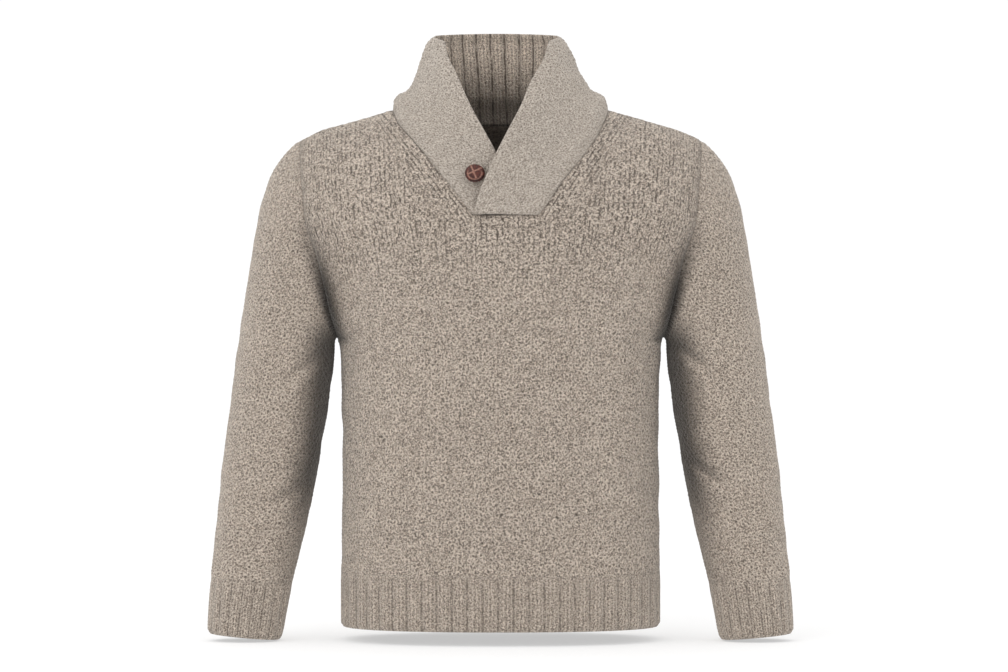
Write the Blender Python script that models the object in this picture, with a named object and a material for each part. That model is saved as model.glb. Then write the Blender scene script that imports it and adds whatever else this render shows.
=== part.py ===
"""A shawl-collared knit pullover, filled out as it is worn and hollow inside.

Metres, +X to the wearer's left, -Y to the front, +Z up. The origin is the centre of the neck's base,
level with the points where the collar meets the shoulders.
"""

import bmesh
import bpy
import numpy as np

# Driving sizes
wall = 0.003
seam_gap = 0.0003
curved_seam_gap = 0.0005
hem_top = -0.599
armpit_height = -0.296
shoulder_tip_x = 0.2607
neck_half = 0.1405
neck_flat_right = -0.0359
neck_flat_left = 0.0483
neck_flat_z = -0.1407
back_neck_drop = 0.0145
arm_depth = 0.070
arm_power = 2.2
body_power = 2.35
collar_wall = 0.0035
hem_rib_height = 0.0020
cuff_rib_height = 0.0018
collar_rib_height = 0.0018
button_width = 0.0278
button_height = 0.0246
button_depth = 0.0140
button_strip_height = 0.12
button_x = -0.0323
button_z = -0.0877

# Which way the cloth faces where the armhole's two halves meet, at -X and at +X
armpit_normals = ((-0.62, 0.0, -0.78), (0.62, 0.0, -0.78))

# Grid counts
low_rows = 8
high_rows = 14
side_neck_columns = 7
flat_neck_columns = 4
back_neck_columns = 12
shoulder_columns = 6
collar_front_columns = 20
collar_back_ribs = 20
hem_ribs = 54
cuff_ribs = 20
points_a_rib = 4

# Half width of the body at each height below the armpit
side_line = (
    {"z": -0.5995, "x": 0.2070},
    {"z": -0.5600, "x": 0.2058},
    {"z": -0.5000, "x": 0.2050},
    {"z": -0.4200, "x": 0.2048},
    {"z": -0.3600, "x": 0.2058},
    {"z": -0.3100, "x": 0.2075},
    {"z": -0.2960, "x": 0.2110},
)

# The armhole seam seen from the front
armhole_line = (
    {"z": -0.2960, "x": 0.2110},
    {"z": -0.2600, "x": 0.2198},
    {"z": -0.2145, "x": 0.2304},
    {"z": -0.1820, "x": 0.2395},
    {"z": -0.1520, "x": 0.2504},
    {"z": -0.1105, "x": 0.2550},
    {"z": -0.0780, "x": 0.2585},
    {"z": -0.0400, "x": 0.2607},
)

# The shoulder slope, carried on under the collar to the middle
shoulder_line = (
    {"x": 0.0000, "z": 0.0420},
    {"x": 0.0700, "z": 0.0210},
    {"x": 0.1405, "z": 0.0000},
    {"x": 0.1880, "z": -0.0140},
    {"x": 0.2308, "z": -0.0260},
    {"x": 0.2607, "z": -0.0400},
)

# The front neckline, from the wearer's right shoulder round the flat bottom to the left
neckline = (
    {"x": -0.1405, "z": 0.0000},
    {"x": -0.1324, "z": -0.0198},
    {"x": -0.1187, "z": -0.0356},
    {"x": -0.0976, "z": -0.0602},
    {"x": -0.0782, "z": -0.0851},
    {"x": -0.0602, "z": -0.1071},
    {"x": -0.0462, "z": -0.1252},
    {"x": neck_flat_right, "z": neck_flat_z},
    {"x": neck_flat_left, "z": neck_flat_z},
    {"x": 0.0591, "z": -0.1270},
    {"x": 0.0782, "z": -0.0978},
    {"x": 0.1028, "z": -0.0679},
    {"x": 0.1239, "z": -0.0384},
    {"x": 0.1352, "z": -0.0157},
    {"x": 0.1405, "z": 0.0000},
)

# Forward reach of the front's middle, and backward reach of the back's, at each height
middle_line = (
    {"z": -0.5995, "front": 0.1205, "back": 0.1120},
    {"z": -0.4500, "front": 0.1200, "back": 0.1090},
    {"z": -0.3000, "front": 0.1250, "back": 0.1120},
    {"z": -0.2000, "front": 0.1240, "back": 0.1180},
    {"z": -0.1000, "front": 0.1190, "back": 0.1170},
    {"z": 0.0000, "front": 0.1150, "back": 0.1120},
)

# Sleeve sections: the outer and inner end of each, how far it reaches forward and back, its middle
sleeve_sections = (
    {"outer_x": 0.2607, "outer_z": -0.0400, "inner_x": 0.2110, "inner_z": -0.2960, "half": 0.0700, "y": 0.0000},
    {"outer_x": 0.2720, "outer_z": -0.0490, "inner_x": 0.2130, "inner_z": -0.2968, "half": 0.0702, "y": 0.0000},
    {"outer_x": 0.2875, "outer_z": -0.0670, "inner_x": 0.2148, "inner_z": -0.2985, "half": 0.0704, "y": -0.0005},
    {"outer_x": 0.3020, "outer_z": -0.0950, "inner_x": 0.2160, "inner_z": -0.3015, "half": 0.0702, "y": -0.0010},
    {"outer_x": 0.3130, "outer_z": -0.1340, "inner_x": 0.2164, "inner_z": -0.3060, "half": 0.0695, "y": -0.0015},
    {"outer_x": 0.3215, "outer_z": -0.1820, "inner_x": 0.2165, "inner_z": -0.3125, "half": 0.0680, "y": -0.0020},
    {"outer_x": 0.3300, "outer_z": -0.2340, "inner_x": 0.2168, "inner_z": -0.3220, "half": 0.0660, "y": -0.0030},
    {"outer_x": 0.3375, "outer_z": -0.2880, "inner_x": 0.2180, "inner_z": -0.3370, "half": 0.0635, "y": -0.0045},
    {"outer_x": 0.3448, "outer_z": -0.3400, "inner_x": 0.2215, "inner_z": -0.3640, "half": 0.0610, "y": -0.0065},
    {"outer_x": 0.3516, "outer_z": -0.3950, "inner_x": 0.2268, "inner_z": -0.4040, "half": 0.0580, "y": -0.0090},
    {"outer_x": 0.3577, "outer_z": -0.4420, "inner_x": 0.2338, "inner_z": -0.4460, "half": 0.0550, "y": -0.0115},
    {"outer_x": 0.3634, "outer_z": -0.4910, "inner_x": 0.2423, "inner_z": -0.4935, "half": 0.0515, "y": -0.0140},
    {"outer_x": 0.3672, "outer_z": -0.5330, "inner_x": 0.2513, "inner_z": -0.5355, "half": 0.0480, "y": -0.0165},
    {"outer_x": 0.3712, "outer_z": -0.5720, "inner_x": 0.2608, "inner_z": -0.5760, "half": 0.0445, "y": -0.0188},
    {"outer_x": 0.3728, "outer_z": -0.5895, "inner_x": 0.2655, "inner_z": -0.5950, "half": 0.0425, "y": -0.0200},
    {"outer_x": 0.3741, "outer_z": -0.6055, "inner_x": 0.2695, "inner_z": -0.6125, "half": 0.0405, "y": -0.0210},
)

# Cuff sections from the seam down: outer and inner end, reach and middle
cuff_sections = (
    {"outer_x": 0.3741, "outer_z": -0.6059, "inner_x": 0.2695, "inner_z": -0.6129, "half": 0.0405, "y": -0.0210},
    {"outer_x": 0.3772, "outer_z": -0.6420, "inner_x": 0.2768, "inner_z": -0.6500, "half": 0.0388, "y": -0.0225},
    {"outer_x": 0.3784, "outer_z": -0.6715, "inner_x": 0.2828, "inner_z": -0.6800, "half": 0.0372, "y": -0.0238},
    {"outer_x": 0.3755, "outer_z": -0.6775, "inner_x": 0.2860, "inner_z": -0.6857, "half": 0.0345, "y": -0.0240},
)

# Hem rib sections from the seam down: half width and reach of front and back
hem_sections = (
    {"z": -0.5993, "side": 0.2070, "front": 0.1205, "back": 0.1120},
    {"z": -0.6640, "side": 0.2068, "front": 0.1205, "back": 0.1120},
    {"z": -0.6695, "side": 0.2040, "front": 0.1185, "back": 0.1100},
)

# Large soft folds in the cloth: a trough (negative) or ridge along a line seen from the front or back
folds = (
    {"piece": "front", "x0": -0.196, "z0": -0.300, "x1": -0.178, "z1": -0.180, "width": 0.024, "rise": -0.0055},
    {"piece": "front", "x0": 0.196, "z0": -0.300, "x1": 0.181, "z1": -0.190, "width": 0.024, "rise": -0.0050},
    {"piece": "front", "x0": -0.160, "z0": -0.330, "x1": -0.120, "z1": -0.270, "width": 0.022, "rise": -0.0030},
    {"piece": "front", "x0": 0.165, "z0": -0.350, "x1": 0.110, "z1": -0.290, "width": 0.024, "rise": -0.0030},
    {"piece": "front", "x0": -0.120, "z0": -0.560, "x1": -0.090, "z1": -0.430, "width": 0.030, "rise": -0.0025},
    {"piece": "front", "x0": 0.095, "z0": -0.570, "x1": 0.120, "z1": -0.460, "width": 0.030, "rise": -0.0025},
    {"piece": "back", "x0": -0.190, "z0": -0.300, "x1": -0.170, "z1": -0.170, "width": 0.025, "rise": -0.0050},
    {"piece": "back", "x0": 0.190, "z0": -0.300, "x1": 0.172, "z1": -0.185, "width": 0.025, "rise": -0.0050},
    {"piece": "back", "x0": -0.050, "z0": -0.520, "x1": 0.010, "z1": -0.400, "width": 0.030, "rise": -0.0035},
    {"piece": "back", "x0": 0.080, "z0": -0.480, "x1": 0.110, "z1": -0.330, "width": 0.028, "rise": -0.0030},
)

# Creases across the sleeves: height along the arm, angle round it (0 outside, 90 front), slant and size
sleeve_creases = (
    {"side": 1, "z": -0.330, "angle": 110, "spread": 45, "slant": 0.030, "width": 0.011, "rise": -0.0035},
    {"side": 1, "z": -0.405, "angle": 70, "spread": 50, "slant": -0.020, "width": 0.013, "rise": -0.0030},
    {"side": 1, "z": -0.470, "angle": 125, "spread": 40, "slant": 0.026, "width": 0.012, "rise": -0.0035},
    {"side": 1, "z": -0.545, "angle": 60, "spread": 45, "slant": 0.020, "width": 0.013, "rise": -0.0025},
    {"side": 1, "z": -0.430, "angle": 255, "spread": 50, "slant": 0.024, "width": 0.013, "rise": -0.0035},
    {"side": -1, "z": -0.345, "angle": 100, "spread": 45, "slant": 0.026, "width": 0.012, "rise": -0.0035},
    {"side": -1, "z": -0.425, "angle": 75, "spread": 45, "slant": -0.018, "width": 0.012, "rise": -0.0030},
    {"side": -1, "z": -0.500, "angle": 120, "spread": 45, "slant": 0.024, "width": 0.013, "rise": -0.0030},
    {"side": -1, "z": -0.570, "angle": 65, "spread": 40, "slant": 0.018, "width": 0.012, "rise": -0.0025},
    {"side": -1, "z": -0.460, "angle": 250, "spread": 50, "slant": -0.022, "width": 0.013, "rise": -0.0035},
)

# The collar's free edge. In front, share 0 is the band's sewn end and share 1 is beside the neck
collar_edge_right = (
    {"share": 0.00, "x": 0.0247, "y": -0.1165, "z": -0.1388},
    {"share": 0.10, "x": 0.0170, "y": -0.1168, "z": -0.1169},
    {"share": 0.25, "x": 0.0057, "y": -0.1176, "z": -0.0877},
    {"share": 0.42, "x": -0.0068, "y": -0.1180, "z": -0.0584},
    {"share": 0.56, "x": -0.0221, "y": -0.1140, "z": -0.0303},
    {"share": 0.66, "x": -0.0335, "y": -0.1085, "z": -0.0097},
    {"share": 0.77, "x": -0.0450, "y": -0.0985, "z": 0.0139},
    {"share": 0.89, "x": -0.0580, "y": -0.0800, "z": 0.0447},
    {"share": 0.96, "x": -0.0685, "y": -0.0600, "z": 0.0667},
    {"share": 1.00, "x": -0.0730, "y": -0.0400, "z": 0.0872},
)
collar_edge_left = (
    {"share": 0.00, "x": -0.0334, "y": -0.1275, "z": -0.1390},
    {"share": 0.09, "x": -0.0283, "y": -0.1280, "z": -0.1168},
    {"share": 0.19, "x": -0.0195, "y": -0.1282, "z": -0.0941},
    {"share": 0.34, "x": -0.0043, "y": -0.1262, "z": -0.0599},
    {"share": 0.49, "x": 0.0121, "y": -0.1190, "z": -0.0277},
    {"share": 0.61, "x": 0.0261, "y": -0.1080, "z": -0.0005},
    {"share": 0.75, "x": 0.0390, "y": -0.0885, "z": 0.0314},
    {"share": 0.89, "x": 0.0559, "y": -0.0620, "z": 0.0628},
    {"share": 1.00, "x": 0.0638, "y": -0.0400, "z": 0.0877},
)
collar_edge_back = (
    {"share": 0.00, "x": -0.0730, "y": -0.0400, "z": 0.0872},
    {"share": 0.09, "x": -0.0867, "y": -0.0150, "z": 0.0944},
    {"share": 0.22, "x": -0.0862, "y": 0.0200, "z": 0.0989},
    {"share": 0.34, "x": -0.0615, "y": 0.0520, "z": 0.1030},
    {"share": 0.50, "x": -0.0049, "y": 0.0700, "z": 0.1055},
    {"share": 0.66, "x": 0.0526, "y": 0.0520, "z": 0.1030},
    {"share": 0.78, "x": 0.0758, "y": 0.0200, "z": 0.0989},
    {"share": 0.91, "x": 0.0762, "y": -0.0150, "z": 0.0944},
    {"share": 1.00, "x": 0.0638, "y": -0.0400, "z": 0.0877},
)

# How far the collar stands out from straight between its seam and its free edge
collar_profile = (
    {"rise": 0.00, "out": 0.0000},
    {"rise": 0.14, "out": 0.0062},
    {"rise": 0.32, "out": -0.0010},
    {"rise": 0.52, "out": 0.0005},
    {"rise": 0.72, "out": 0.0030},
    {"rise": 0.88, "out": 0.0045},
    {"rise": 1.00, "out": 0.0000},
)


def column(rows, key):
    return np.array([row[key] for row in rows])


def smooth_read(rows, at_key, key, at):
    """The column read as a smooth curve that never overshoots its rows."""
    places = column(rows, at_key)
    values = column(rows, key)
    steps = np.diff(places)
    slopes = np.diff(values) / steps
    same_way = slopes[:-1] * slopes[1:] > 0
    total = np.where(same_way, slopes[:-1] + slopes[1:], 1.0)
    middle = np.where(same_way, 2 * slopes[:-1] * slopes[1:] / total, 0.0)
    tangents = np.concatenate([slopes[:1], middle, slopes[-1:]])
    at = np.clip(at, places[0], places[-1])
    index = np.clip(np.searchsorted(places, at) - 1, 0, len(steps) - 1)
    t = (at - places[index]) / steps[index]
    rise = values[index] * (1 + 2 * t) * (1 - t) ** 2 + values[index + 1] * t**2 * (3 - 2 * t)
    lean = tangents[index] * t * (1 - t) ** 2 - tangents[index + 1] * t**2 * (1 - t)
    return rise + lean * steps[index]


def straight_read(rows, at_key, key, at):
    return np.interp(at, column(rows, at_key), column(rows, key))


def smooth_step(share):
    share = np.clip(share, 0.0, 1.0)
    return share * share * (3 - 2 * share)


def unit(vectors):
    return vectors / np.maximum(np.linalg.norm(vectors, axis=-1, keepdims=True), 1e-9)


def grid_normals(points, around):
    """Normals of a grid of points, rows first, facing right of its columns and up its rows."""
    if around:
        along = np.roll(points, -1, axis=1) - np.roll(points, 1, axis=1)
    else:
        along = np.gradient(points, axis=1)
    return unit(np.cross(along, np.gradient(points, axis=0)))


def wall_mesh(name, outer, inner, around, turned):
    """A closed wall between two grids of points, whose columns may close round and may run the other way."""
    if turned:
        outer = outer[:, ::-1]
        inner = inner[:, ::-1]
    rows, columns = outer.shape[:2]
    count = rows * columns
    index = np.arange(count).reshape(rows, columns)
    if around:
        index = np.concatenate([index, index[:, :1]], axis=1)
    faces = []
    for row in range(rows - 1):
        for left in range(index.shape[1] - 1):
            a, b = index[row, left], index[row, left + 1]
            c, d = index[row + 1, left + 1], index[row + 1, left]
            faces.append((a, b, c, d))
            faces.append((d + count, c + count, b + count, a + count))
    for left in range(index.shape[1] - 1):
        a, b = index[0, left], index[0, left + 1]
        faces.append((a, a + count, b + count, b))
        a, b = index[-1, left], index[-1, left + 1]
        faces.append((b, b + count, a + count, a))
    if not around:
        for row in range(rows - 1):
            a, b = index[row, 0], index[row + 1, 0]
            faces.append((b, b + count, a + count, a))
            a, b = index[row, -1], index[row + 1, -1]
            faces.append((a, a + count, b + count, b))
    points = np.concatenate([outer.reshape(-1, 3), inner.reshape(-1, 3)])
    mesh = bpy.data.meshes.new(name)
    mesh.from_pydata([tuple(map(float, point)) for point in points], [], [tuple(map(int, face)) for face in faces])
    mesh.validate()
    mesh.shade_smooth()
    mesh.set_sharp_from_angle(angle=np.radians(50))
    return mesh


def new_piece(name, mesh, material):
    piece = bpy.data.objects.new(name, mesh)
    piece.data.materials.append(material)
    bpy.context.scene.collection.objects.link(piece)
    return piece


def new_material(name, colour, roughness):
    material = bpy.data.materials.new(name)
    material.use_nodes = True
    shader = material.node_tree.nodes["Principled BSDF"]
    shader.inputs["Base Color"].default_value = (*colour, 1.0)
    shader.inputs["Roughness"].default_value = roughness
    shader.inputs["Metallic"].default_value = 0.0
    return material


def fold_rise(piece, x, z):
    """The large folds of a panel at places seen from the front."""
    total = np.zeros(np.shape(x))
    for fold in folds:
        if fold["piece"] != piece:
            continue
        run = np.array([fold["x1"] - fold["x0"], fold["z1"] - fold["z0"]])
        length = np.hypot(*run)
        along = ((x - fold["x0"]) * run[0] + (z - fold["z0"]) * run[1]) / length
        across = ((x - fold["x0"]) * run[1] - (z - fold["z0"]) * run[0]) / length
        past = np.maximum(np.maximum(-along, along - length), 0.0)
        near = np.exp(-((across / fold["width"]) ** 2) - (past / (2 * fold["width"])) ** 2)
        total += fold["rise"] * near
    return total


def panel_depth(piece, u, share, x, z):
    """How far a panel lies from the middle plane. u runs across, share up from the armpit to the top."""
    reach = smooth_read(middle_line, "z", piece, z)
    width = np.clip(np.abs(u), 0.0, 1.0)
    rising = smooth_step(share / 0.50)
    power = body_power - 0.15 * rising
    root = 1 / body_power + (0.85 - 1 / body_power) * rising
    round_armpit = np.sqrt(1 - (1 - np.clip(share / 0.35, 0.0, 1.0)) ** 2)
    edge = arm_depth * (rising + (round_armpit - rising) * width**14)
    section = edge + (reach - edge) * (1 - width**power) ** root
    drop = smooth_read(shoulder_line, "x", "z", np.abs(x)) - z
    ridge_reach, ridge_power = {"front": (0.160, 1.7), "back": (0.150, 1.9)}[piece]
    over = 1 - np.clip(drop / ridge_reach, 0.0, 1.0)
    ridge = (1 - over**ridge_power) ** (1 / ridge_power)
    keep = np.clip((1 - width) / 0.05, 0.0, 1.0) * np.clip(drop / 0.04, 0.0, 1.0)
    low = np.clip((z - hem_top) / 0.02, 0.0, 1.0)
    return section * ridge + fold_rise(piece, x, z) * keep * low


def back_neckline(x):
    return -back_neck_drop * (1 - np.clip(np.abs(x) / neck_half, 0.0, 1.0) ** 8)


def top_line(piece, x):
    """Height of a panel's upper edge: the shoulder slopes with the neckline between them."""
    slope = smooth_read(shoulder_line, "x", "z", np.abs(x))
    if piece == "front":
        neck = straight_read(neckline, "x", "z", x)
    else:
        neck = back_neckline(x)
    return np.where(np.abs(x) < neck_half, neck, slope)


def panel_place(piece, u, share):
    """A point of the panel: share below 0 runs down to the hem rib, above 0 up to the top edge."""
    up = np.clip(share, 0.0, 1.0)
    down = np.clip(-share, 0.0, 1.0)
    edge_z = armpit_height + (top_line(piece, shoulder_tip_x) - armpit_height) * up
    low_z = armpit_height + (hem_top - armpit_height) * down
    high_x = u * smooth_read(armhole_line, "z", "x", edge_z)
    low_x = u * smooth_read(side_line, "z", "x", low_z)
    x = np.where(share > 0, high_x, low_x)
    top = top_line(piece, u * shoulder_tip_x)
    z = np.where(share > 0, armpit_height + (top - armpit_height) * up, low_z)
    depth = panel_depth(piece, u, up, x, z) + seam_gap / 2
    side = -1.0 if piece == "front" else 1.0
    return np.stack([x, side * depth, z], axis=-1)


def neck_stops(piece):
    """Places across the neck, evenly spaced along each stretch of its seam."""
    spans = [(-neck_half, neck_half, back_neck_columns)]
    if piece == "front":
        spans = [
            (-neck_half, neck_flat_right, side_neck_columns),
            (neck_flat_right, neck_flat_left, flat_neck_columns),
            (neck_flat_left, neck_half, side_neck_columns),
        ]
    stops = [-neck_half]
    for start, finish, count in spans:
        x = np.linspace(start, finish, 1001)
        inside = np.clip(x, -neck_half + 1e-6, neck_half - 1e-6)
        z = top_line(piece, inside)
        run = np.concatenate([[0.0], np.cumsum(np.hypot(np.diff(x), np.diff(z)))])
        stops.extend(np.interp(np.linspace(0, run[-1], count + 1)[1:], run, x))
    return np.array(stops) / shoulder_tip_x


def panel_columns(piece):
    neck = neck_stops(piece)
    part = neck_half / shoulder_tip_x
    steps = np.sin(np.linspace(0, np.pi / 2, shoulder_columns + 1)[1:])
    shoulder = part + (1 - part) * steps
    return np.concatenate([-shoulder[::-1], neck, shoulder])


def panel_rows():
    low = -np.linspace(1, 0, low_rows + 1)[:-1]
    high = 0.5 * (1 - np.cos(np.linspace(0, np.pi, high_rows + 1)))
    return np.concatenate([low, high])


def evened(vectors):
    """Directions along an edge, each eased towards its neighbours, the ends kept."""
    for _ in range(3):
        middle = (vectors[:-2] + 2 * vectors[1:-1] + vectors[2:]) / 4
        vectors = np.concatenate([vectors[:1], middle, vectors[-1:]])
    return unit(vectors)


def panel_walls(piece):
    """The outer and inner points of a panel, columns from -X to +X and rows upward."""
    across = panel_columns(piece)
    shares = panel_rows()
    u, share = np.meshgrid(across, shares)
    outer = panel_place(piece, u, share)
    normals = grid_normals(outer, False)
    if piece == "back":
        normals = -normals
    on_shoulder = np.abs(across) > neck_half / shoulder_tip_x - 1e-6
    normals[-1, on_shoulder, 1] = 0.0
    normals[: low_rows + 1, [0, -1], 1] = 0.0
    normals[0, :, 2] = 0.0
    normals[low_rows, [0, -1]] = armpit_normals
    normals = unit(normals)
    normals[low_rows:, 0] = evened(normals[low_rows:, 0])
    normals[low_rows:, -1] = evened(normals[low_rows:, -1])
    off_shoulder = slice(shoulder_columns, len(across) - shoulder_columns)
    normals[-1, off_shoulder] = evened(normals[-1, off_shoulder])
    return outer, outer - wall * normals


def armhole_loop(side):
    """The armhole's edge, outer and inner, from the shoulder round the front to the armpit and back up."""
    loops = []
    for layer in range(2):
        front = panel_walls("front")[layer][low_rows:]
        back = panel_walls("back")[layer][low_rows:]
        end = -1 if side > 0 else 0
        front_edge = front[::-1, end]
        back_edge = back[:, end]
        armpit = (front_edge[-1] + back_edge[0]) / 2
        tip = (front_edge[0] + back_edge[-1]) / 2
        loops.append(np.concatenate([[tip], front_edge[1:-1], [armpit], back_edge[1:-1]]))
    return loops


def arm_ring(section, angles):
    """A ring round the arm on the +X side, from its outer end over the front."""
    outer_end = np.array([section["outer_x"], section["outer_z"]])
    inner_end = np.array([section["inner_x"], section["inner_z"]])
    centre = (outer_end + inner_end) / 2
    reach = (outer_end - inner_end) / 2
    across = np.sign(np.cos(angles)) * np.abs(np.cos(angles)) ** (2 / arm_power)
    forward = np.sign(np.sin(angles)) * np.abs(np.sin(angles)) ** (2 / arm_power)
    x = centre[0] + reach[0] * across
    z = centre[1] + reach[1] * across
    return np.stack([x, section["y"] - section["half"] * forward, z], axis=-1)


def crease_rise(side, z, angles):
    total = np.zeros(np.shape(z))
    for crease in sleeve_creases:
        if crease["side"] != side:
            continue
        turn = (np.degrees(angles) - crease["angle"] + 180) % 360 - 180
        line = crease["z"] + crease["slant"] * turn / crease["spread"]
        near = np.exp(-(((z - line) / crease["width"]) ** 2) - (turn / crease["spread"]) ** 2)
        total += crease["rise"] * near
    return total


def sleeve_walls(side):
    """The sleeve's outer and inner points: the first ring follows the armhole and the last the cuff's seam."""
    seam_outer, seam_inner = armhole_loop(side)
    count = len(seam_outer)
    rows = len(sleeve_sections)
    edge = np.roll(seam_outer, -1, axis=0) - np.roll(seam_outer, 1, axis=0)
    away = unit(np.cross(seam_outer - seam_inner, edge)) * side
    seam_outer = seam_outer + curved_seam_gap * away
    seam_inner = seam_inner + curved_seam_gap * away
    mirror = np.array([side, 1.0, 1.0])
    first = sleeve_sections[0]
    top = np.array([first["outer_x"], first["outer_z"]])
    bottom = np.array([first["inner_x"], first["inner_z"]])
    line = (top - bottom) / np.sum((top - bottom) ** 2)
    height = 2 * ((seam_outer * mirror)[:, [0, 2]] - bottom) @ line - 1
    height = np.clip(height, -1, 1)
    seam_angles = np.arccos(np.sign(height) * np.abs(height) ** (arm_power / 2))
    seam_angles[count // 2 + 1 :] = 2 * np.pi - seam_angles[count // 2 + 1 :]
    even = np.linspace(0, 2 * np.pi, count, endpoint=False)
    rings = []
    for row, section in enumerate(sleeve_sections):
        ease = smooth_step(row / 9)
        angles = seam_angles + (even - seam_angles) * ease
        ring = arm_ring(section, angles)
        if row == 0:
            left_over = seam_outer * mirror - ring
        rings.append((ring + left_over * smooth_step(1 - row / 6)) * mirror)
    outer = np.array(rings)
    normals = grid_normals(outer, True) * side
    rise = crease_rise(side, outer[..., 2], np.broadcast_to(even, outer.shape[:2]))
    place = np.arange(rows)[:, None]
    rise = rise * np.clip(place / 5, 0, 1) * np.clip((rows - 1 - place) / 2, 0, 1)
    outer = outer + normals * rise[..., None]
    normals = grid_normals(outer, True) * side
    normals[-1, :, 2] = 0.0
    inner = outer - wall * unit(normals)
    inner[0] = seam_inner
    return outer, inner


def rib_wave(position, height):
    """A 2x2 rib: rounded ridges with narrower valleys between them."""
    wave = 0.5 + 0.5 * np.cos(2 * np.pi * position)
    return height * wave**0.5


def body_ring(section, angles):
    """A ring round the body from its -X side, over the front, to +X and round the back."""
    power = 2 / 2.35
    across = -np.sign(np.cos(angles)) * np.abs(np.cos(angles)) ** power
    forward = np.sign(np.sin(angles)) * np.abs(np.sin(angles)) ** power
    reach = np.where(forward > 0, section["front"], section["back"])
    x = section["side"] * across
    return np.stack([x, -reach * forward, np.full(len(angles), section["z"])], axis=-1)


def even_angles(ring_of, count):
    """Angles that space the points of a ring evenly along it."""
    fine = np.linspace(0, 2 * np.pi, 1441)
    ring = ring_of(fine)
    run = np.concatenate([[0.0], np.cumsum(np.linalg.norm(np.diff(ring, axis=0), axis=1))])
    return np.interp(np.arange(count) * run[-1] / count, run, fine)


def ribbed_tube(rings, height, side):
    """Outer and inner points of a ribbed band from a stack of rings, given from the top down."""
    rings = np.array(rings)[::-1]
    normals = grid_normals(rings, True) * side
    normals[..., 2] = 0.0
    normals = unit(normals)
    position = np.arange(rings.shape[1]) / points_a_rib
    rise = rib_wave(position, height) * np.ones((len(rings), 1))
    rise[0] *= 0.6
    return rings + normals * rise[..., None], rings - (wall - height / 2) * normals


def hem_walls():
    angles = even_angles(lambda at: body_ring(hem_sections[0], at), hem_ribs * points_a_rib)
    rings = [body_ring(section, angles) for section in hem_sections]
    return ribbed_tube(rings, hem_rib_height, 1)


def cuff_walls(side):
    angles = even_angles(lambda at: arm_ring(cuff_sections[0], at), cuff_ribs * points_a_rib)
    mirror = np.array([side, 1.0, 1.0])
    rings = [arm_ring(section, angles) * mirror for section in cuff_sections]
    return ribbed_tube(rings, cuff_rib_height, -side)


def seam_places(line, shares):
    """Places at even shares of the way along a line of points, as fractions of its steps."""
    run = np.concatenate([[0.0], np.cumsum(np.linalg.norm(np.diff(line, axis=0), axis=1))])
    return np.interp(shares * run[-1], run, np.arange(len(line)))


def read_line(line, places):
    steps = np.arange(len(line))
    return np.stack([np.interp(places, steps, line[:, axis]) for axis in range(3)], axis=-1)


def neck_edges(piece):
    """The outer and inner edge of a panel along the neck, moved off it by the seam's gap."""
    outer, inner = [layer[-1] for layer in panel_walls(piece)]
    first = shoulder_columns
    last = len(outer) - shoulder_columns
    edge = np.gradient(outer, axis=0)
    away = unit(np.cross(edge, outer - inner))
    if piece == "front":
        away = -away
    return (outer + curved_seam_gap * away)[first:last], (inner + curved_seam_gap * away)[first:last]


def collar_stretches():
    """The three stretches of the collar: seam lines, the free edge's table and the shares of the way along."""
    front_outer, front_inner = neck_edges("front")
    back_outer, back_inner = neck_edges("back")
    right = slice(side_neck_columns, None, -1)
    left = slice(None, side_neck_columns + flat_neck_columns - 1, -1)
    front_shares = np.linspace(0, 1, collar_front_columns + 1)
    back_shares = np.linspace(0, 1, collar_back_ribs * points_a_rib + 1)
    return (
        (front_outer[right], front_inner[right], collar_edge_right, front_shares[:-1], front_shares[:-1]),
        (back_outer, back_inner, collar_edge_back, back_shares, back_shares),
        (front_outer[left], front_inner[left], collar_edge_left, front_shares[1:], 1 - front_shares[1:]),
    )


def collar_walls():
    """Outer and inner points of the shawl collar, columns from its right end round the neck to its left."""
    seam_outer = []
    seam_inner = []
    free_edge = []
    stand = []
    for outer_line, inner_line, table, along_seam, along_edge in collar_stretches():
        places = seam_places(outer_line, along_seam)
        seam_outer.append(read_line(outer_line, places))
        seam_inner.append(read_line(inner_line, places))
        read = [smooth_read(table, "share", key, along_edge) for key in ("x", "y", "z")]
        free_edge.append(np.stack(read, axis=-1))
        at_back = table is collar_edge_back
        stand.append(1 - 0.5 * np.sin(np.pi * along_edge) ** 4 if at_back else along_edge**1.5)
    seam_outer = np.concatenate(seam_outer)
    free_edge = np.concatenate(free_edge)
    stand = np.concatenate(stand)
    rise = column(collar_profile, "rise")[:, None, None]
    outer = seam_outer * (1 - rise) + free_edge * rise
    normals = -grid_normals(outer, False)
    out = column(collar_profile, "out")[:, None] * (0.3 + 0.7 * stand)
    outer = outer + normals * out[..., None]
    normals = -grid_normals(outer, False)
    normals[:, [0, -1], 2] = 0.0
    normals = unit(normals)
    count = outer.shape[1]
    position = (np.arange(count) - collar_front_columns) / points_a_rib
    rib = rib_wave(position, collar_rib_height) * np.clip(stand * 4 - 2, 0, 1)
    thick = (collar_wall - collar_rib_height / 2) + rib
    inner = outer - normals * thick[None, :, None]
    inner[0] = np.concatenate(seam_inner)
    return outer, inner


def button_mesh():
    """A leather football knot: a squashed ball whose face is crossed by woven strips."""
    mesh = bpy.data.meshes.new("button")
    ball = bmesh.new()
    bmesh.ops.create_uvsphere(ball, u_segments=24, v_segments=14, radius=1.0)
    for vert in ball.verts:
        x, z, out = vert.co.x, vert.co.y, vert.co.z
        over = np.sin(np.pi * 1.4 * (x + z)) * np.sin(np.pi * 1.4 * (x - z))
        strip = 1 + button_strip_height * over * max(out, 0.0)
        vert.co = (
            x * button_width / 2 * strip,
            -(out * button_depth / 2) * strip,
            z * button_height / 2 * strip,
        )
    bmesh.ops.recalc_face_normals(ball, faces=ball.faces)
    ball.to_mesh(mesh)
    ball.free()
    mesh.shade_smooth()
    return mesh


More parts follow.
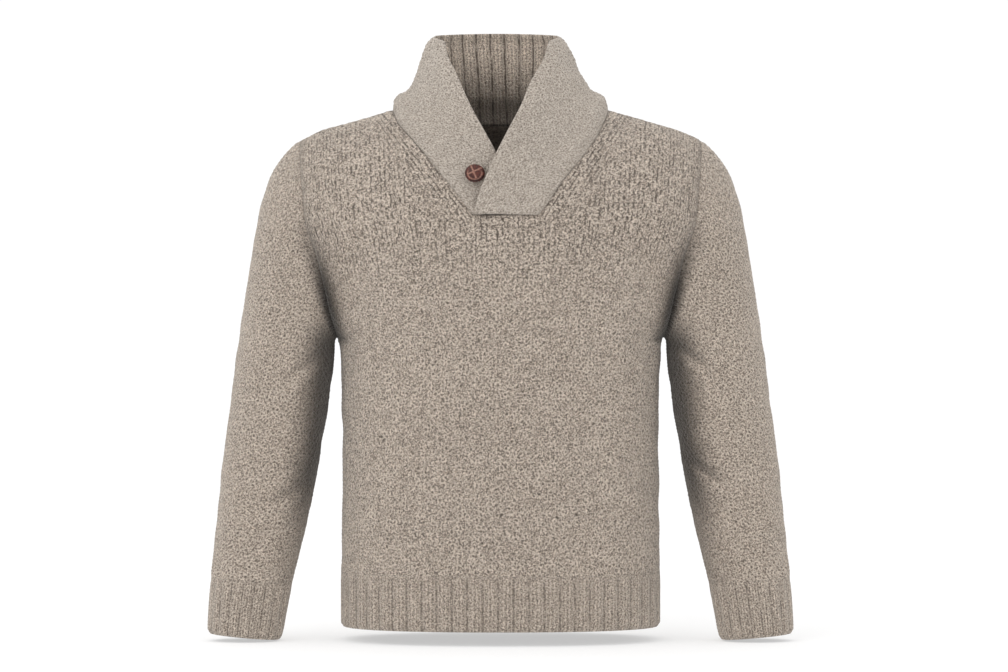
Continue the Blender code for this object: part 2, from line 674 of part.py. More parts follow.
def button_place(collar_outer):
    """The button's middle, just off the under end of the collar."""
    points = collar_outer[:, :collar_front_columns].reshape(-1, 3)
    near = np.hypot(points[:, 0] - button_x, points[:, 2] - button_z) < button_width / 2
    return (button_x, points[near, 1].min() - seam_gap - button_depth / 2, button_z)


for thing in list(bpy.data.objects):
    bpy.data.objects.remove(thing, do_unlink=True)

wool = new_material("wool", (0.392, 0.333, 0.275), 0.95)
leather = new_material("leather", (0.145, 0.055, 0.032), 0.45)

for panel in ("front", "back"):
    outer, inner = panel_walls(panel)
    new_piece(panel, wall_mesh(panel, outer, inner, False, panel == "back"), wool)

for name, side in (("left", 1), ("right", -1)):
    outer, inner = sleeve_walls(side)
    new_piece("sleeve_" + name, wall_mesh("sleeve_" + name, outer, inner, True, side < 0), wool)
    outer, inner = cuff_walls(side)
    new_piece("cuff_" + name, wall_mesh("cuff_" + name, outer, inner, True, side > 0), wool)

outer, inner = hem_walls()
new_piece("hem_rib", wall_mesh("hem_rib", outer, inner, True, False), wool)

outer, inner = collar_walls()
new_piece("collar", wall_mesh("collar", outer, inner, False, True), wool)
button = new_piece("button", button_mesh(), leather)
button.location = button_place(outer)
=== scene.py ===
import bmesh
import bpy
import numpy as np
from mathutils import Matrix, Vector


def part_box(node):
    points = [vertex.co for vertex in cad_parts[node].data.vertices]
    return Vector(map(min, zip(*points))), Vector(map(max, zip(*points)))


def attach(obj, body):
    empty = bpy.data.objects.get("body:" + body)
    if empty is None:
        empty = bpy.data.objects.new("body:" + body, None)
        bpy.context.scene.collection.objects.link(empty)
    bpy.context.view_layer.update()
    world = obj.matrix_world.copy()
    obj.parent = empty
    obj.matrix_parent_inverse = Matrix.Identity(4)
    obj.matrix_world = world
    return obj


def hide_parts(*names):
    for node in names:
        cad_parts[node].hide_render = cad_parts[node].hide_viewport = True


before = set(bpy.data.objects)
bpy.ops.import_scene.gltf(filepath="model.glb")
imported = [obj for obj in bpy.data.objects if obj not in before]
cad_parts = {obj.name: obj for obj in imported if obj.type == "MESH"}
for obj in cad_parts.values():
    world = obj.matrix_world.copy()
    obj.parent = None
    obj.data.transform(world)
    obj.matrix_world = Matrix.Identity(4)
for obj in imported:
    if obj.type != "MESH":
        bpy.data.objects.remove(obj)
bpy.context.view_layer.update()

# the garment's own sizes, in metres, the same ones that its solids are made from
garment = {
    "wall": 0.003, "seamGap": 0.00004,
    "hemTop": -0.599, "cuffTop": -0.608, "armpitHeight": -0.296, "shoulderTipX": 0.2607,
    "neckHalf": 0.1405, "neckFlatRight": -0.0359, "neckFlatLeft": 0.0483, "neckFlatZ": -0.1407,
    "backNeckDrop": 0.0145, "armDepth": 0.07, "armPower": 2.2, "bodyPower": 2.35,
    "ridges": {"front": (0.16, 1.7), "back": (0.15, 1.9)},  # how far down the shoulder line rounds, and its power
    "armpitNormals": ((-0.62, 0.0, -0.78), (0.62, 0.0, -0.78)),
    "lowRows": 18, "highRows": 14, "shoulderColumns": 6,
    "sideNeckColumns": 7, "flatNeckColumns": 4, "backNeckColumns": 12,
    "finer": 9,  # how many times finer the panels' grids are than the counts above
    "coarser": 3,  # and how many times coarser their inner faces are again
}
armpitRow, neckColumn = [garment[key] * garment["finer"] for key in ("lowRows", "shoulderColumns")]  # of a panel

sideLine = (  # z, x
    (-0.5995, 0.207), (-0.56, 0.2058), (-0.5, 0.205), (-0.42, 0.2048), (-0.36, 0.2058), (-0.31, 0.2075),
    (-0.296, 0.211),
)
armholeLine = (  # z, x
    (-0.296, 0.211), (-0.26, 0.2198), (-0.2145, 0.2304), (-0.182, 0.2395), (-0.152, 0.2504), (-0.1105, 0.255),
    (-0.078, 0.2585), (-0.04, 0.2607),
)
shoulderLine = (  # x, z
    (0.0, 0.042), (0.07, 0.021), (0.1405, 0.0), (0.188, -0.014), (0.2308, -0.026), (0.2607, -0.04),
)
neckline = (  # x, z
    (-0.1405, 0.0), (-0.1324, -0.0198), (-0.1187, -0.0356), (-0.0976, -0.0602), (-0.0782, -0.0851),
    (-0.0602, -0.1071), (-0.0462, -0.1252), (-0.0359, -0.1407), (0.0483, -0.1407), (0.0591, -0.127),
    (0.0782, -0.0978), (0.1028, -0.0679), (0.1239, -0.0384), (0.1352, -0.0157), (0.1405, 0.0),
)
middleLine = (  # z, front, back
    (-0.5995, 0.1205, 0.112), (-0.45, 0.12, 0.109), (-0.3, 0.125, 0.112), (-0.2, 0.124, 0.118),
    (-0.1, 0.119, 0.117), (0.0, 0.115, 0.112),
)
sleeveSections = (  # outer x, outer z, inner x, inner z, half, y
    (0.2607, -0.04, 0.211, -0.296, 0.07, 0.0), (0.272, -0.049, 0.213, -0.2968, 0.0702, 0.0),
    (0.2875, -0.067, 0.2148, -0.2985, 0.0704, -0.0005), (0.302, -0.095, 0.216, -0.3015, 0.0702, -0.001),
    (0.313, -0.134, 0.2164, -0.306, 0.0695, -0.0015), (0.3215, -0.182, 0.2165, -0.3125, 0.068, -0.002),
    (0.33, -0.234, 0.2168, -0.322, 0.066, -0.003), (0.3375, -0.288, 0.218, -0.337, 0.0635, -0.0045),
    (0.3448, -0.34, 0.2215, -0.364, 0.061, -0.0065), (0.3516, -0.395, 0.2268, -0.404, 0.058, -0.009),
    (0.3577, -0.442, 0.2338, -0.446, 0.055, -0.0115), (0.3634, -0.491, 0.2423, -0.4935, 0.0515, -0.014),
    (0.3672, -0.533, 0.2513, -0.5355, 0.048, -0.0165), (0.3712, -0.572, 0.2608, -0.576, 0.0445, -0.0188),
    (0.3728, -0.5895, 0.2655, -0.595, 0.0425, -0.02), (0.3741, -0.6055, 0.2695, -0.6125, 0.0405, -0.021),
)
cuffSections = (  # as the sleeve's
    (0.3741, -0.60554, 0.2695, -0.61254, 0.0405, -0.021), (0.3772, -0.642, 0.2768, -0.65, 0.0388, -0.0225),
    (0.3784, -0.6715, 0.2828, -0.68, 0.0372, -0.0238), (0.3755, -0.6775, 0.286, -0.6857, 0.0345, -0.024),
)
hemSections = (  # z, side, front, back
    (-0.59904, 0.207, 0.1205, 0.112), (-0.664, 0.2068, 0.1205, 0.112), (-0.6695, 0.204, 0.1185, 0.11),
)
facing = {"front": -1, "back": 1}  # each panel's way along y
folds = (  # piece, x and z of both ends, width, rise
    ("front", -0.196, -0.3, -0.178, -0.18, 0.024, -0.0055), ("front", 0.196, -0.3, 0.181, -0.19, 0.024, -0.005),
    ("front", -0.16, -0.33, -0.12, -0.27, 0.022, -0.003), ("front", 0.165, -0.35, 0.11, -0.29, 0.024, -0.003),
    ("front", -0.12, -0.56, -0.09, -0.43, 0.03, -0.0025), ("front", 0.095, -0.57, 0.12, -0.46, 0.03, -0.0025),
    ("back", -0.19, -0.3, -0.17, -0.17, 0.025, -0.005), ("back", 0.19, -0.3, 0.172, -0.185, 0.025, -0.005),
    ("back", -0.05, -0.52, 0.01, -0.4, 0.03, -0.0035), ("back", 0.08, -0.48, 0.11, -0.33, 0.028, -0.003),
)
sleeveCreases = (  # side, height, angle, spread, slant, width, rise
    (1, -0.33, 110, 45, 0.03, 0.011, -0.0035), (1, -0.405, 70, 50, -0.02, 0.013, -0.003),
    (1, -0.47, 125, 40, 0.026, 0.012, -0.0035), (1, -0.545, 60, 45, 0.02, 0.013, -0.0025),
    (1, -0.43, 255, 50, 0.024, 0.013, -0.0035), (-1, -0.345, 100, 45, 0.026, 0.012, -0.0035),
    (-1, -0.425, 75, 45, -0.018, 0.012, -0.003), (-1, -0.5, 120, 45, 0.024, 0.013, -0.003),
    (-1, -0.57, 65, 40, 0.018, 0.012, -0.0025), (-1, -0.46, 250, 50, -0.022, 0.013, -0.0035),
)
collarEdgeRight = (  # share, x, y, z
    (0.0, 0.0247, -0.1165, -0.1388), (0.1, 0.017, -0.1168, -0.1169), (0.25, 0.0057, -0.1176, -0.0877),
    (0.42, -0.0068, -0.118, -0.0584), (0.56, -0.0221, -0.114, -0.0303), (0.66, -0.0335, -0.1085, -0.0097),
    (0.77, -0.045, -0.0985, 0.0139), (0.89, -0.058, -0.08, 0.0447), (0.96, -0.0685, -0.06, 0.0667),
    (1.0, -0.073, -0.04, 0.0872),
)
collarEdgeLeft = (  # the same, for the end on top
    (0.0, -0.0334, -0.1275, -0.139), (0.09, -0.0283, -0.128, -0.1168), (0.19, -0.0195, -0.1282, -0.0941),
    (0.34, -0.0043, -0.1262, -0.0599), (0.49, 0.0121, -0.119, -0.0277), (0.61, 0.0261, -0.108, -0.0005),
    (0.75, 0.039, -0.0885, 0.0314), (0.89, 0.0559, -0.062, 0.0628), (1.0, 0.0638, -0.04, 0.0877),
)
collarEdgeBack = (  # and round the nape
    (0.0, -0.073, -0.04, 0.0872), (0.09, -0.0867, -0.015, 0.0944), (0.22, -0.0862, 0.02, 0.0989),
    (0.34, -0.0615, 0.052, 0.103), (0.5, -0.0049, 0.07, 0.1055), (0.66, 0.0526, 0.052, 0.103),
    (0.78, 0.0758, 0.02, 0.0989), (0.91, 0.0762, -0.015, 0.0944), (1.0, 0.0638, -0.04, 0.0877),
)
collarProfile = (  # rise, out
    (0.0, 0.0), (0.14, 0.0062), (0.32, -0.001), (0.52, 0.0005), (0.72, 0.003), (0.88, 0.0045), (1.0, 0.0),
)


def smoothRead(rows, at, column=1, places=None):  # a smooth curve through a table's column, with no overshoot
    rows = np.array(rows)
    places = rows[:, 0] if places is None else places
    values = rows[:, column]
    steps = np.diff(places)
    slopes = np.diff(values) / steps
    sameWay = slopes[:-1] * slopes[1:] > 0
    total = np.where(sameWay, slopes[:-1] + slopes[1:], 1.0)
    middle = np.where(sameWay, 2 * slopes[:-1] * slopes[1:] / total, 0.0)
    tangents = np.concatenate([slopes[:1], middle, slopes[-1:]])
    at = np.clip(at, places[0], places[-1])
    index = np.clip(np.searchsorted(places, at) - 1, 0, len(steps) - 1)
    t = (at - places[index]) / steps[index]
    rise = values[index] * (1 + 2 * t) * (1 - t) ** 2 + values[index + 1] * t**2 * (3 - 2 * t)
    return rise + (tangents[index] * t * (1 - t) ** 2 - tangents[index + 1] * t**2 * (1 - t)) * steps[index]


def together(*parts):  # coordinates stacked into places, each spread to the shape that all share
    return np.stack(np.broadcast_arrays(*parts), axis=-1)


def sectionAt(rows, at, places):
    return [float(smoothRead(rows, at, key, places)) for key in range(len(rows[0]))]


def clamp(share):
    return np.clip(share, 0.0, 1.0)


def smoothStep(share):
    share = clamp(share)
    return share * share * (3 - 2 * share)


def bell(away, width):  # 1 at no distance, fading softly past the width
    return np.exp(-((away / width) ** 2))


def runLength(steps):
    return np.concatenate([[0.0], np.cumsum(steps)])


def segmentDistance(x, z, start, end):
    (x0, z0), (x1, z1) = start, end
    length = (x1 - x0) ** 2 + (z1 - z0) ** 2
    along = np.clip(((x - x0) * (x1 - x0) + (z - z0) * (z1 - z0)) / length, 0, 1)
    return np.hypot(x - x0 - along * (x1 - x0), z - z0 - along * (z1 - z0))


def roundedRing(angles, power):  # both coordinates, -1 to 1, of places round a squarish ring
    return [np.sign(part) * np.abs(part) ** (2 / power) for part in (np.cos(angles), np.sin(angles))]


def unit(vectors):
    return vectors / np.maximum(np.linalg.norm(vectors, axis=-1, keepdims=True), 1e-9)


def gridNormals(points, around=False):
    if around:  # the last column lies on the first
        along = np.roll(points[:, :-1], -1, axis=1) - np.roll(points[:, :-1], 1, axis=1)
        along = np.concatenate([along, along[:, :1]], axis=1)
    else:
        along = np.gradient(points, axis=1)
    return unit(np.cross(along, np.gradient(points, axis=0)))


def evened(vectors, passes=30):
    for _ in range(passes):
        middle = (vectors[:-2] + 2 * vectors[1:-1] + vectors[2:]) / 4
        vectors = np.concatenate([vectors[:1], middle, vectors[-1:]])
    return unit(vectors)


def arcLengths(points, axis):  # running length along the rows or columns of a grid
    step = np.linalg.norm(np.diff(points, axis=axis), axis=-1)
    start = np.zeros_like(np.take(step, [0], axis=axis))
    return np.concatenate([start, np.cumsum(step, axis=axis)], axis=axis)


def slowWaves(places, seed, size, count=7):  # soft unevenness, about -1 to 1, of the given size in metres
    chance = np.random.default_rng(seed)
    total = 0
    for _ in range(count):
        turn, phase = chance.uniform(0, 2 * np.pi), chance.uniform(0, 2 * np.pi)
        stretch = chance.uniform(0.7, 1.6)
        across = places[..., 0] * np.cos(turn) + places[..., 1] * np.sin(turn)
        total = total + np.sin(2 * np.pi / (size * stretch) * across + phase)
    return total / count**0.5 / 1.2


def meshFrom(made, name):
    mesh = bpy.data.meshes.new(name)
    made.to_mesh(mesh)
    made.free()
    return mesh


def placesOf(mesh):
    places = np.empty(len(mesh.vertices) * 3, np.float32)
    mesh.vertices.foreach_get("co", places)
    return places.reshape(-1, 3)


def setPlaces(mesh, places, marks):
    mesh.vertices.foreach_set("co", places.astype(np.float32).ravel())
    for name, values in marks.items():
        mesh.attributes.new(name, "FLOAT", "POINT").data.foreach_set("value", values.astype(np.float32))


def showPiece(name, mesh, materials):
    mesh.shade_smooth()
    for material in materials:
        mesh.materials.append(material)
    piece = bpy.data.objects.new(name, mesh)
    bpy.context.scene.collection.objects.link(piece)
    print(name, "triangles", sum(len(polygon.vertices) - 2 for polygon in mesh.polygons))
    return piece


def gridMesh(columns, rows, border, splitSides, cuts):  # a flat grid, and each point's row and column
    made = bmesh.new()
    flat = Matrix.Identity(4)
    bmesh.ops.create_grid(made, x_segments=columns, y_segments=rows, size=0.5, matrix=flat)
    if cuts > 1:  # the border is split as finely as the face's, so that the two meet
        sides = (0, 1) if splitSides else (1,)
        edges = []
        for edge in made.edges:
            both = edge.verts[0].co + edge.verts[1].co
            if any(abs(both[axis]) > 1 - 1e-6 for axis in sides):
                edges.append(edge)
        bmesh.ops.subdivide_edges(made, edges=edges, cuts=cuts - 1)
    mesh = meshFrom(made, "grid")
    places = placesOf(mesh)
    column = np.rint((places[:, 0] + 0.5) * columns * cuts).astype(int)
    row = np.rint((places[:, 1] + 0.5) * rows * cuts).astype(int)
    return mesh, row - border, column - (border if splitSides else 0)


def fillMesh(mesh, points, row, column, maps, marks):
    setPlaces(mesh, points, {name: values[row, column] for name, values in marks.items()})
    corners = np.empty(len(mesh.loops), np.int32)
    mesh.loops.foreach_get("vertex_index", corners)
    for name, values in maps.items():
        layer = mesh.uv_layers.new(name=name)
        layer.uv.foreach_set("vector", values[row, column][corners].astype(np.float32).ravel())


def clothShell(name, outer, inner, maps, marks, materials, around=False, coarser=1):
    rows, columns = outer.shape[0] - 1, outer.shape[1] - 1
    extra = 0 if around else 2
    face, row, column = gridMesh(columns + extra, rows + 2, 1, not around, 1)
    onRim = (row < 0) | (row > rows) | (column < 0) | (column > columns)
    row, column = np.clip(row, 0, rows), np.clip(column, 0, columns)
    marks = {key: np.broadcast_to(values, outer.shape[:2]) for key, values in marks.items()}
    points = np.where(onRim[:, None], inner[row, column], outer[row, column])
    fillMesh(face, points, row, column, maps, marks)
    lining, row, column = gridMesh(columns // coarser, rows // coarser, 0, not around, coarser)
    fillMesh(lining, inner[row, column], row, column, maps, marks)
    last = np.full(len(lining.polygons), len(materials) - 1, np.int32)
    lining.polygons.foreach_set("material_index", last)
    whole = bmesh.new()
    whole.from_mesh(face)
    whole.from_mesh(lining)
    bmesh.ops.remove_doubles(whole, verts=whole.verts, dist=2e-6)
    bmesh.ops.recalc_face_normals(whole, faces=whole.faces)
    mesh = meshFrom(whole, name)
    for spare in (face, lining):
        bpy.data.meshes.remove(spare)
    return showPiece(name, mesh, materials)


# materials

def newMaterial(name):
    material = bpy.data.materials.new(name)
    material.use_nodes = True
    return material, material.node_tree


def feed(node, values):
    for key, value in values.items():
        if isinstance(value, bpy.types.NodeSocket):
            node.id_data.links.new(value, node.inputs[key])
        else:
            node.inputs[key].default_value = value


def feedShader(tree, values):
    feed(tree.nodes["Principled BSDF"], values)


def addNode(kind, values, tree=None, **settings):  # its tree is that of the sockets among its values
    for value in values.values():
        tree = value.id_data if isinstance(value, bpy.types.NodeSocket) else tree
    made = tree.nodes.new("ShaderNode" + kind)
    for key, value in settings.items():
        setattr(made, key, value)
    feed(made, values)
    return made


def maths(operation, first, second=0.0, third=0.0):
    return addNode("Math", {0: first, 1: second, 2: third}, operation=operation).outputs[0]


def between(value, low, high, toLow=0.0, toHigh=1.0):  # a smooth step from low to high
    values = {"Value": value, "From Min": low, "From Max": high, "To Min": toLow, "To Max": toHigh}
    return addNode("MapRange", values, interpolation_type="SMOOTHSTEP").outputs["Result"]


def times(first, *others):
    for other in others:
        first = maths("MULTIPLY", first, other)
    return first


def fromHalf(value):  # 0 in the middle of each step of 1, and 0.5 at its ends
    return maths("ABSOLUTE", maths("SUBTRACT", maths("FRACT", value), 0.5))


def noiseOf(spot, scale, detail=0.0, roughness=0.5, kind="2D", output="Fac"):
    values = {"Vector": spot, "Scale": scale, "Detail": detail, "Roughness": roughness}
    return addNode("TexNoise", values, noise_dimensions=kind).outputs[output]


def mapOf(tree, name):
    return addNode("UVMap", {}, tree, uv_map=name).outputs[0]


def marksOf(tree, names):
    return {name: addNode("Attribute", {}, tree, attribute_name=name).outputs["Fac"] for name in names}


def mixed(share, first, second):
    return addNode("Mix", {0: share, 6: first, 7: second}, data_type="RGBA").outputs[2]


def layered(colour, layers, look):  # each layer's share, its most and its colour's name
    for share, most, shade in layers:
        colour = mixed(times(share, most), colour, (*look[shade], 1.0))
    return colour


def vectorOf(operation, first, second, third=None):
    values = {0: first, 1: second}
    if third is not None:
        values["Scale" if operation == "SCALE" else 2] = third
    return addNode("VectorMath", values, operation=operation).outputs[0]


def dashes(spot, pitch, length, width, level):  # short gaps in lines along the wales, darkened with painted shade
    parts = addNode("SeparateXYZ", {0: spot})
    across = maths("DIVIDE", parts.outputs[0], pitch)
    line = between(fromHalf(across), width, width * 0.3)
    wale = times(maths("FLOOR", across), 7.31)  # so that each line has its own gaps
    place = addNode("CombineXYZ", {0: wale, 1: maths("DIVIDE", parts.outputs[1], length)})
    chance = noiseOf(place.outputs[0], 1.0, 1.0)
    return times(line, between(chance, level - 0.05, level + 0.09))


def pits(spot, pitch, course, size):  # small gaps in a brick order, as between seed stitches, darkened with painted shade, each with a ring of painted highlight
    step = (2**0.5 / pitch, 2**0.5 / (2 * course), 1.0)
    values = {"Vector": spot, "Scale": step, "Rotation": (0.0, 0.0, np.pi / 4), "Location": (0.25, 0.25, 0.0)}
    turned = addNode("Mapping", values)
    values = {"Vector": turned.outputs[0], "Scale": 1.0, "Randomness": 0.55}
    cells = addNode("TexVoronoi", values, voronoi_dimensions="2D")
    chance = addNode("SeparateColor", {0: cells.outputs["Color"]}).outputs[0]
    away = cells.outputs["Distance"]
    gap = times(between(away, size, size * 0.45), between(chance, 0.05, 0.8, 0.25, 1.0))
    rim = times(between(away, size, size + 0.12), between(away, size + 0.3, size + 0.14))
    nub = between(away, 0.3, 0.68)
    return gap, times(rim, between(chance, 0.2, 0.7)), nub


def curls(spot, scale, width, level):  # short curved loops, each a gap darkened with painted shade beside a strand lit with a painted highlight
    loop = noiseOf(spot, scale)
    chance = noiseOf(vectorOf("ADD", spot, (3.7, 1.9, 0.0)), scale * 1.25)
    shown = between(chance, level, level + 0.08)
    parts = []
    for middle in (0.5, 0.5 + 1.9 * width):
        off = maths("ABSOLUTE", maths("SUBTRACT", loop, middle))
        parts.append(times(between(off, width, width * 0.3), shown))
    return parts


def woolMaterial(name, look):
    material, tree = newMaterial(name)
    thing = addNode("TexCoord", {}, tree).outputs["Object"]
    knit = mapOf(tree, "knit")
    mark = marksOf(tree, ("yoke", "slant", "seam", "shade"))

    bend = (0.0, 0.0, 0.0)  # the stitches wander and curl
    for scale, reach in ((90.0, look["wobble"]), (310.0, look["curl"])):
        away = vectorOf("SUBTRACT", noiseOf(knit, scale, 1.0, output="Color"), (0.5, 0.5, 0.5))
        bend = vectorOf("ADD", bend, vectorOf("SCALE", away, (0, 0, 0), reach))
    spot = vectorOf("ADD", knit, bend)
    gap, lipHighlight, nub = pits(spot, look["pitch"], look["course"], look["pitSize"])
    gap = times(gap, look["pits"])
    if look["dashes"]:
        line = [look[key] for key in ("dashPitch", "dashLength", "dashWidth")]
        lines = dashes(spot, *line, 0.5)
        if look["slanted"]:
            beside = vectorOf("ADD", mapOf(tree, "slanted"), bend)
            slope = dashes(beside, line[0], line[1] * 1.2, line[2], 0.46)
            lines = addNode("Mix", {0: mark["slant"], 2: lines, 3: slope}).outputs[0]
            yoke = maths("MAXIMUM", mark["yoke"], mark["slant"])
            gap = times(gap, maths("MULTIPLY_ADD", yoke, -0.7, 1.0))
            lines = times(lines, maths("MULTIPLY_ADD", yoke, 0.75, 0.25))
        gap = maths("MAXIMUM", gap, times(lines, look["dashes"]))
    if look["smoothFront"]:  # the pebbles fade where the mark is low
        rough = maths("MULTIPLY_ADD", mark["yoke"], look["smoothFront"], 1.0 - look["smoothFront"])
        gap = times(gap, rough)
    curl, strand = curls(spot, look["curlScale"], look["curlWidth"], look["curlLevel"])
    gap = maths("MAXIMUM", gap, times(curl, look["curls"]))
    lipHighlight = maths("MAXIMUM", lipHighlight, strand)

    cells = addNode("TexVoronoi", {"Vector": thing, "Scale": look["speckScale"]})
    speck = addNode("SeparateColor", {0: cells.outputs["Color"]}).outputs[0]
    drawn = addNode("Mapping", {"Vector": spot, "Scale": (1.0, look["hairStretch"], 1.0)}).outputs[0]
    hair = noiseOf(drawn, look["hairScale"], 2.0, 0.7)
    marl = noiseOf(thing, 150.0, 3.0, 0.6, "3D")
    maze = noiseOf(spot, look["mazeScale"], 1.0)
    cloud = noiseOf(thing, 14.0, 2.0, kind="3D")

    strand = between(maze, 0.5 - look["mazeSoft"], 0.5 + look["mazeSoft"])
    colour = mixed(strand, (*look["dark"], 1.0), (*look["light"], 1.0))
    sewn = times(mark["seam"], between(marl, 0.4, 0.58, 0.35, 1.0))
    layers = (
        (between(marl, 0.52, 0.36), 0.22, "greyColour"),
        (between(cloud, 0.35, 0.7), 0.1, "warm"),
        (between(hair, 0.47, 0.66), look["hairLight"], "creamAndHighlightColour"),
        (between(hair, 0.5, 0.34), look["hairDark"], "greyColour"),
        (between(speck, 0.62, 0.98), look["cream"], "creamAndHighlightColour"),
        (between(speck, 0.34, 0.02), look["grey"], "greyColour"),
        # painted highlight on the yarn beside the gaps, painted shade in the gaps, and the seams drawn dark
        (lipHighlight, look["lipHighlight"], "creamAndHighlightColour"), (gap, look["gapDepth"], "seamAndShadeColour"), (sewn, look["seam"], "seamAndShadeColour"),
    )
    colour = layered(colour, layers, look)
    # painted shade where the shade mark is set: in the fold beside the arms and on the sleeves' sides towards the
    # body
    colour = mixed(mark["shade"], colour, (*look["paintedShadeColour"], 1.0))

    height = maths("SUBTRACT", times(nub, 0.45), gap)
    for relief, share in ((hair, look["hairBump"]), (speck, look["speckBump"]), (maze, look["mazeBump"])):
        height = maths("MULTIPLY_ADD", relief, share, height)
    bump = addNode("Bump", {"Height": height, "Strength": look["bump"], "Distance": 0.0012}).outputs[0]
    feedShader(tree, {
        "Base Color": colour, "Normal": bump, "Roughness": 0.92, "Specular IOR Level": 0.15,
        "Sheen Weight": look["sheen"], "Sheen Roughness": 0.55, "Sheen Tint": (0.95, 0.9, 0.84, 1.0),
    })
    return material


oatmeal = {  # the yarn's colours and those of its painted shade and highlight, then how strong, large and deep each of its marks is
    "dark": (0.148, 0.116, 0.091), "light": (0.536, 0.446, 0.366), "warm": (0.37, 0.293, 0.22),
    "creamAndHighlightColour": (0.755, 0.652, 0.552), "greyColour": (0.108, 0.087, 0.072),
    "seamAndShadeColour": (0.07, 0.053, 0.041), "paintedShadeColour": (0.013, 0.01, 0.008),
    "cream": 0.74, "grey": 0.72, "hairLight": 0.42, "hairDark": 0.4, "lipHighlight": 0.58,
    "mazeScale": 410.0, "mazeSoft": 0.07, "mazeBump": 1.4, "wobble": 0.003, "curl": 0.0022,
    "pitch": 0.009, "course": 0.005, "pitSize": 0.27, "pits": 0.6, "gapDepth": 0.88,
    "curls": 1.0, "curlScale": 225.0, "curlWidth": 0.075, "curlLevel": 0.5,
    "dashes": 0.0, "dashPitch": 0.0055, "dashLength": 0.006, "dashWidth": 0.26, "slanted": False,
    "smoothFront": 0.0, "speckScale": 860.0, "speckBump": 0.35, "hairScale": 760.0, "hairStretch": 0.6,
    "hairBump": 0.6, "bump": 0.85, "seam": 0.55, "sheen": 0.4,
}


def setUp(piece, node):
    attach(piece, "root")
    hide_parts(node)


# front and back panels

panel = {
    "relief": 0.0007, "reliefPitch": 0.009, "reliefCourse": 0.005, "edgeFade": 0.006,
    "unevenness": 0.0007, "unevenSize": 0.045, "seamGroove": 0.0005, "neckGroove": 0.0007, "seamWidth": 0.0026,
    "softSeam": 0.22, "seamLine": 0.0018, "neckLine": 0.0012,  # how dark the seams are drawn, and how wide
    "yokeLow": -0.27, "yokeHigh": -0.15, "slantWidth": 0.03,  # where the stitches stand in ladders
    "pitShade": 1.0, "pitWidth": 0.015, "pitTop": -0.12, "pitRun": 0.125,  # painted shade in the fold beside the arm
}


def foldRise(piece, x, z):
    total = np.zeros(np.shape(x))
    for name, x0, z0, x1, z1, width, rise in folds:
        if name == piece:
            run = np.array([x1 - x0, z1 - z0])
            length = np.hypot(*run)
            along = ((x - x0) * run[0] + (z - z0) * run[1]) / length
            across = ((x - x0) * run[1] - (z - z0) * run[0]) / length
            past = np.maximum(np.maximum(-along, along - length), 0.0)
            total += rise * np.exp(-((across / width) ** 2) - (past / (2 * width)) ** 2)
    return total


def panelDepth(piece, u, share, x, z):
    g = garment
    reach = smoothRead(middleLine, z, 1 if piece == "front" else 2)
    width = clamp(np.abs(u))
    rising = smoothStep(share / 0.5)
    power = g["bodyPower"] - 0.15 * rising
    root = 1 / g["bodyPower"] + (0.85 - 1 / g["bodyPower"]) * rising
    roundArmpit = np.sqrt(1 - (1 - clamp(share / 0.35)) ** 2)
    edge = g["armDepth"] * (rising + (roundArmpit - rising) * width**14)
    section = edge + (reach - edge) * (1 - width**power) ** root
    drop = smoothRead(shoulderLine, np.abs(x)) - z
    ridgeReach, ridgePower = g["ridges"][piece]
    ridge = (1 - (1 - clamp(drop / ridgeReach)) ** ridgePower) ** (1 / ridgePower)
    keep = clamp((1 - width) / 0.05) * clamp(drop / 0.04)  # the folds fade before the seams
    return section * ridge + foldRise(piece, x, z) * keep * clamp((z - g["hemTop"]) / 0.02)


def topLine(piece, x):
    slope = smoothRead(shoulderLine, np.abs(x))
    if piece == "front":
        neck = np.interp(x, *np.array(neckline).T)
    else:
        neck = -garment["backNeckDrop"] * (1 - clamp(np.abs(x) / garment["neckHalf"]) ** 8)
    return np.where(np.abs(x) < garment["neckHalf"], neck, slope)


def panelPlace(piece, u, share):
    armpit, tip = garment["armpitHeight"], garment["shoulderTipX"]
    up, down = clamp(share), clamp(-share)
    edgeZ = armpit + (topLine(piece, tip) - armpit) * up
    lowZ = armpit + (garment["hemTop"] - armpit) * down
    x = np.where(share > 0, u * smoothRead(armholeLine, edgeZ), u * smoothRead(sideLine, lowZ))
    z = np.where(share > 0, armpit + (topLine(piece, u * tip) - armpit) * up, lowZ)
    depth = panelDepth(piece, u, up, x, z) + garment["seamGap"] / 2
    return together(x, facing[piece] * depth, z)


def panelGrid(piece):
    g = garment
    half, tip, finer = g["neckHalf"], g["shoulderTipX"], g["finer"]
    spans = [(-half, half, g["backNeckColumns"])]
    if piece == "front":
        left, right, sides = g["neckFlatLeft"], g["neckFlatRight"], g["sideNeckColumns"]
        spans = [(-half, right, sides), (right, left, g["flatNeckColumns"]), (left, half, sides)]
    stops = [-half]
    for start, finish, count in spans:  # even steps along each stretch of the neck's seam
        x = np.linspace(start, finish, 1001)
        z = topLine(piece, np.clip(x, -half + 1e-6, half - 1e-6))
        run = runLength(np.hypot(np.diff(x), np.diff(z)))
        stops.extend(np.interp(np.linspace(0, run[-1], count * finer + 1)[1:], run, x))
    turn = np.sin(np.linspace(0, np.pi / 2, g["shoulderColumns"] * finer + 1)[1:])
    shoulder = half / tip + (1 - half / tip) * turn
    across = np.concatenate([-shoulder[::-1], np.array(stops) / tip, shoulder])
    low = -np.linspace(1, 0, g["lowRows"] * finer + 1)[:-1]
    high = np.linspace(0, 1, g["highRows"] * finer + 1)
    u, share = np.meshgrid(across, np.concatenate([low, high]))
    up = clamp(share)
    bunch = 0.5 * (1 - np.cos(np.pi * up)) - up  # closer rows where the cloth turns fast
    atArmpit = 0.88 * smoothStep((np.abs(u) - 0.7) / 0.28)
    atShoulder = 0.85 * smoothStep((np.abs(u) - 0.45) / 0.1)
    share = share + np.where(share > 0, atArmpit * np.minimum(bunch, 0) + atShoulder * np.maximum(bunch, 0), 0.0)
    return across, u, share


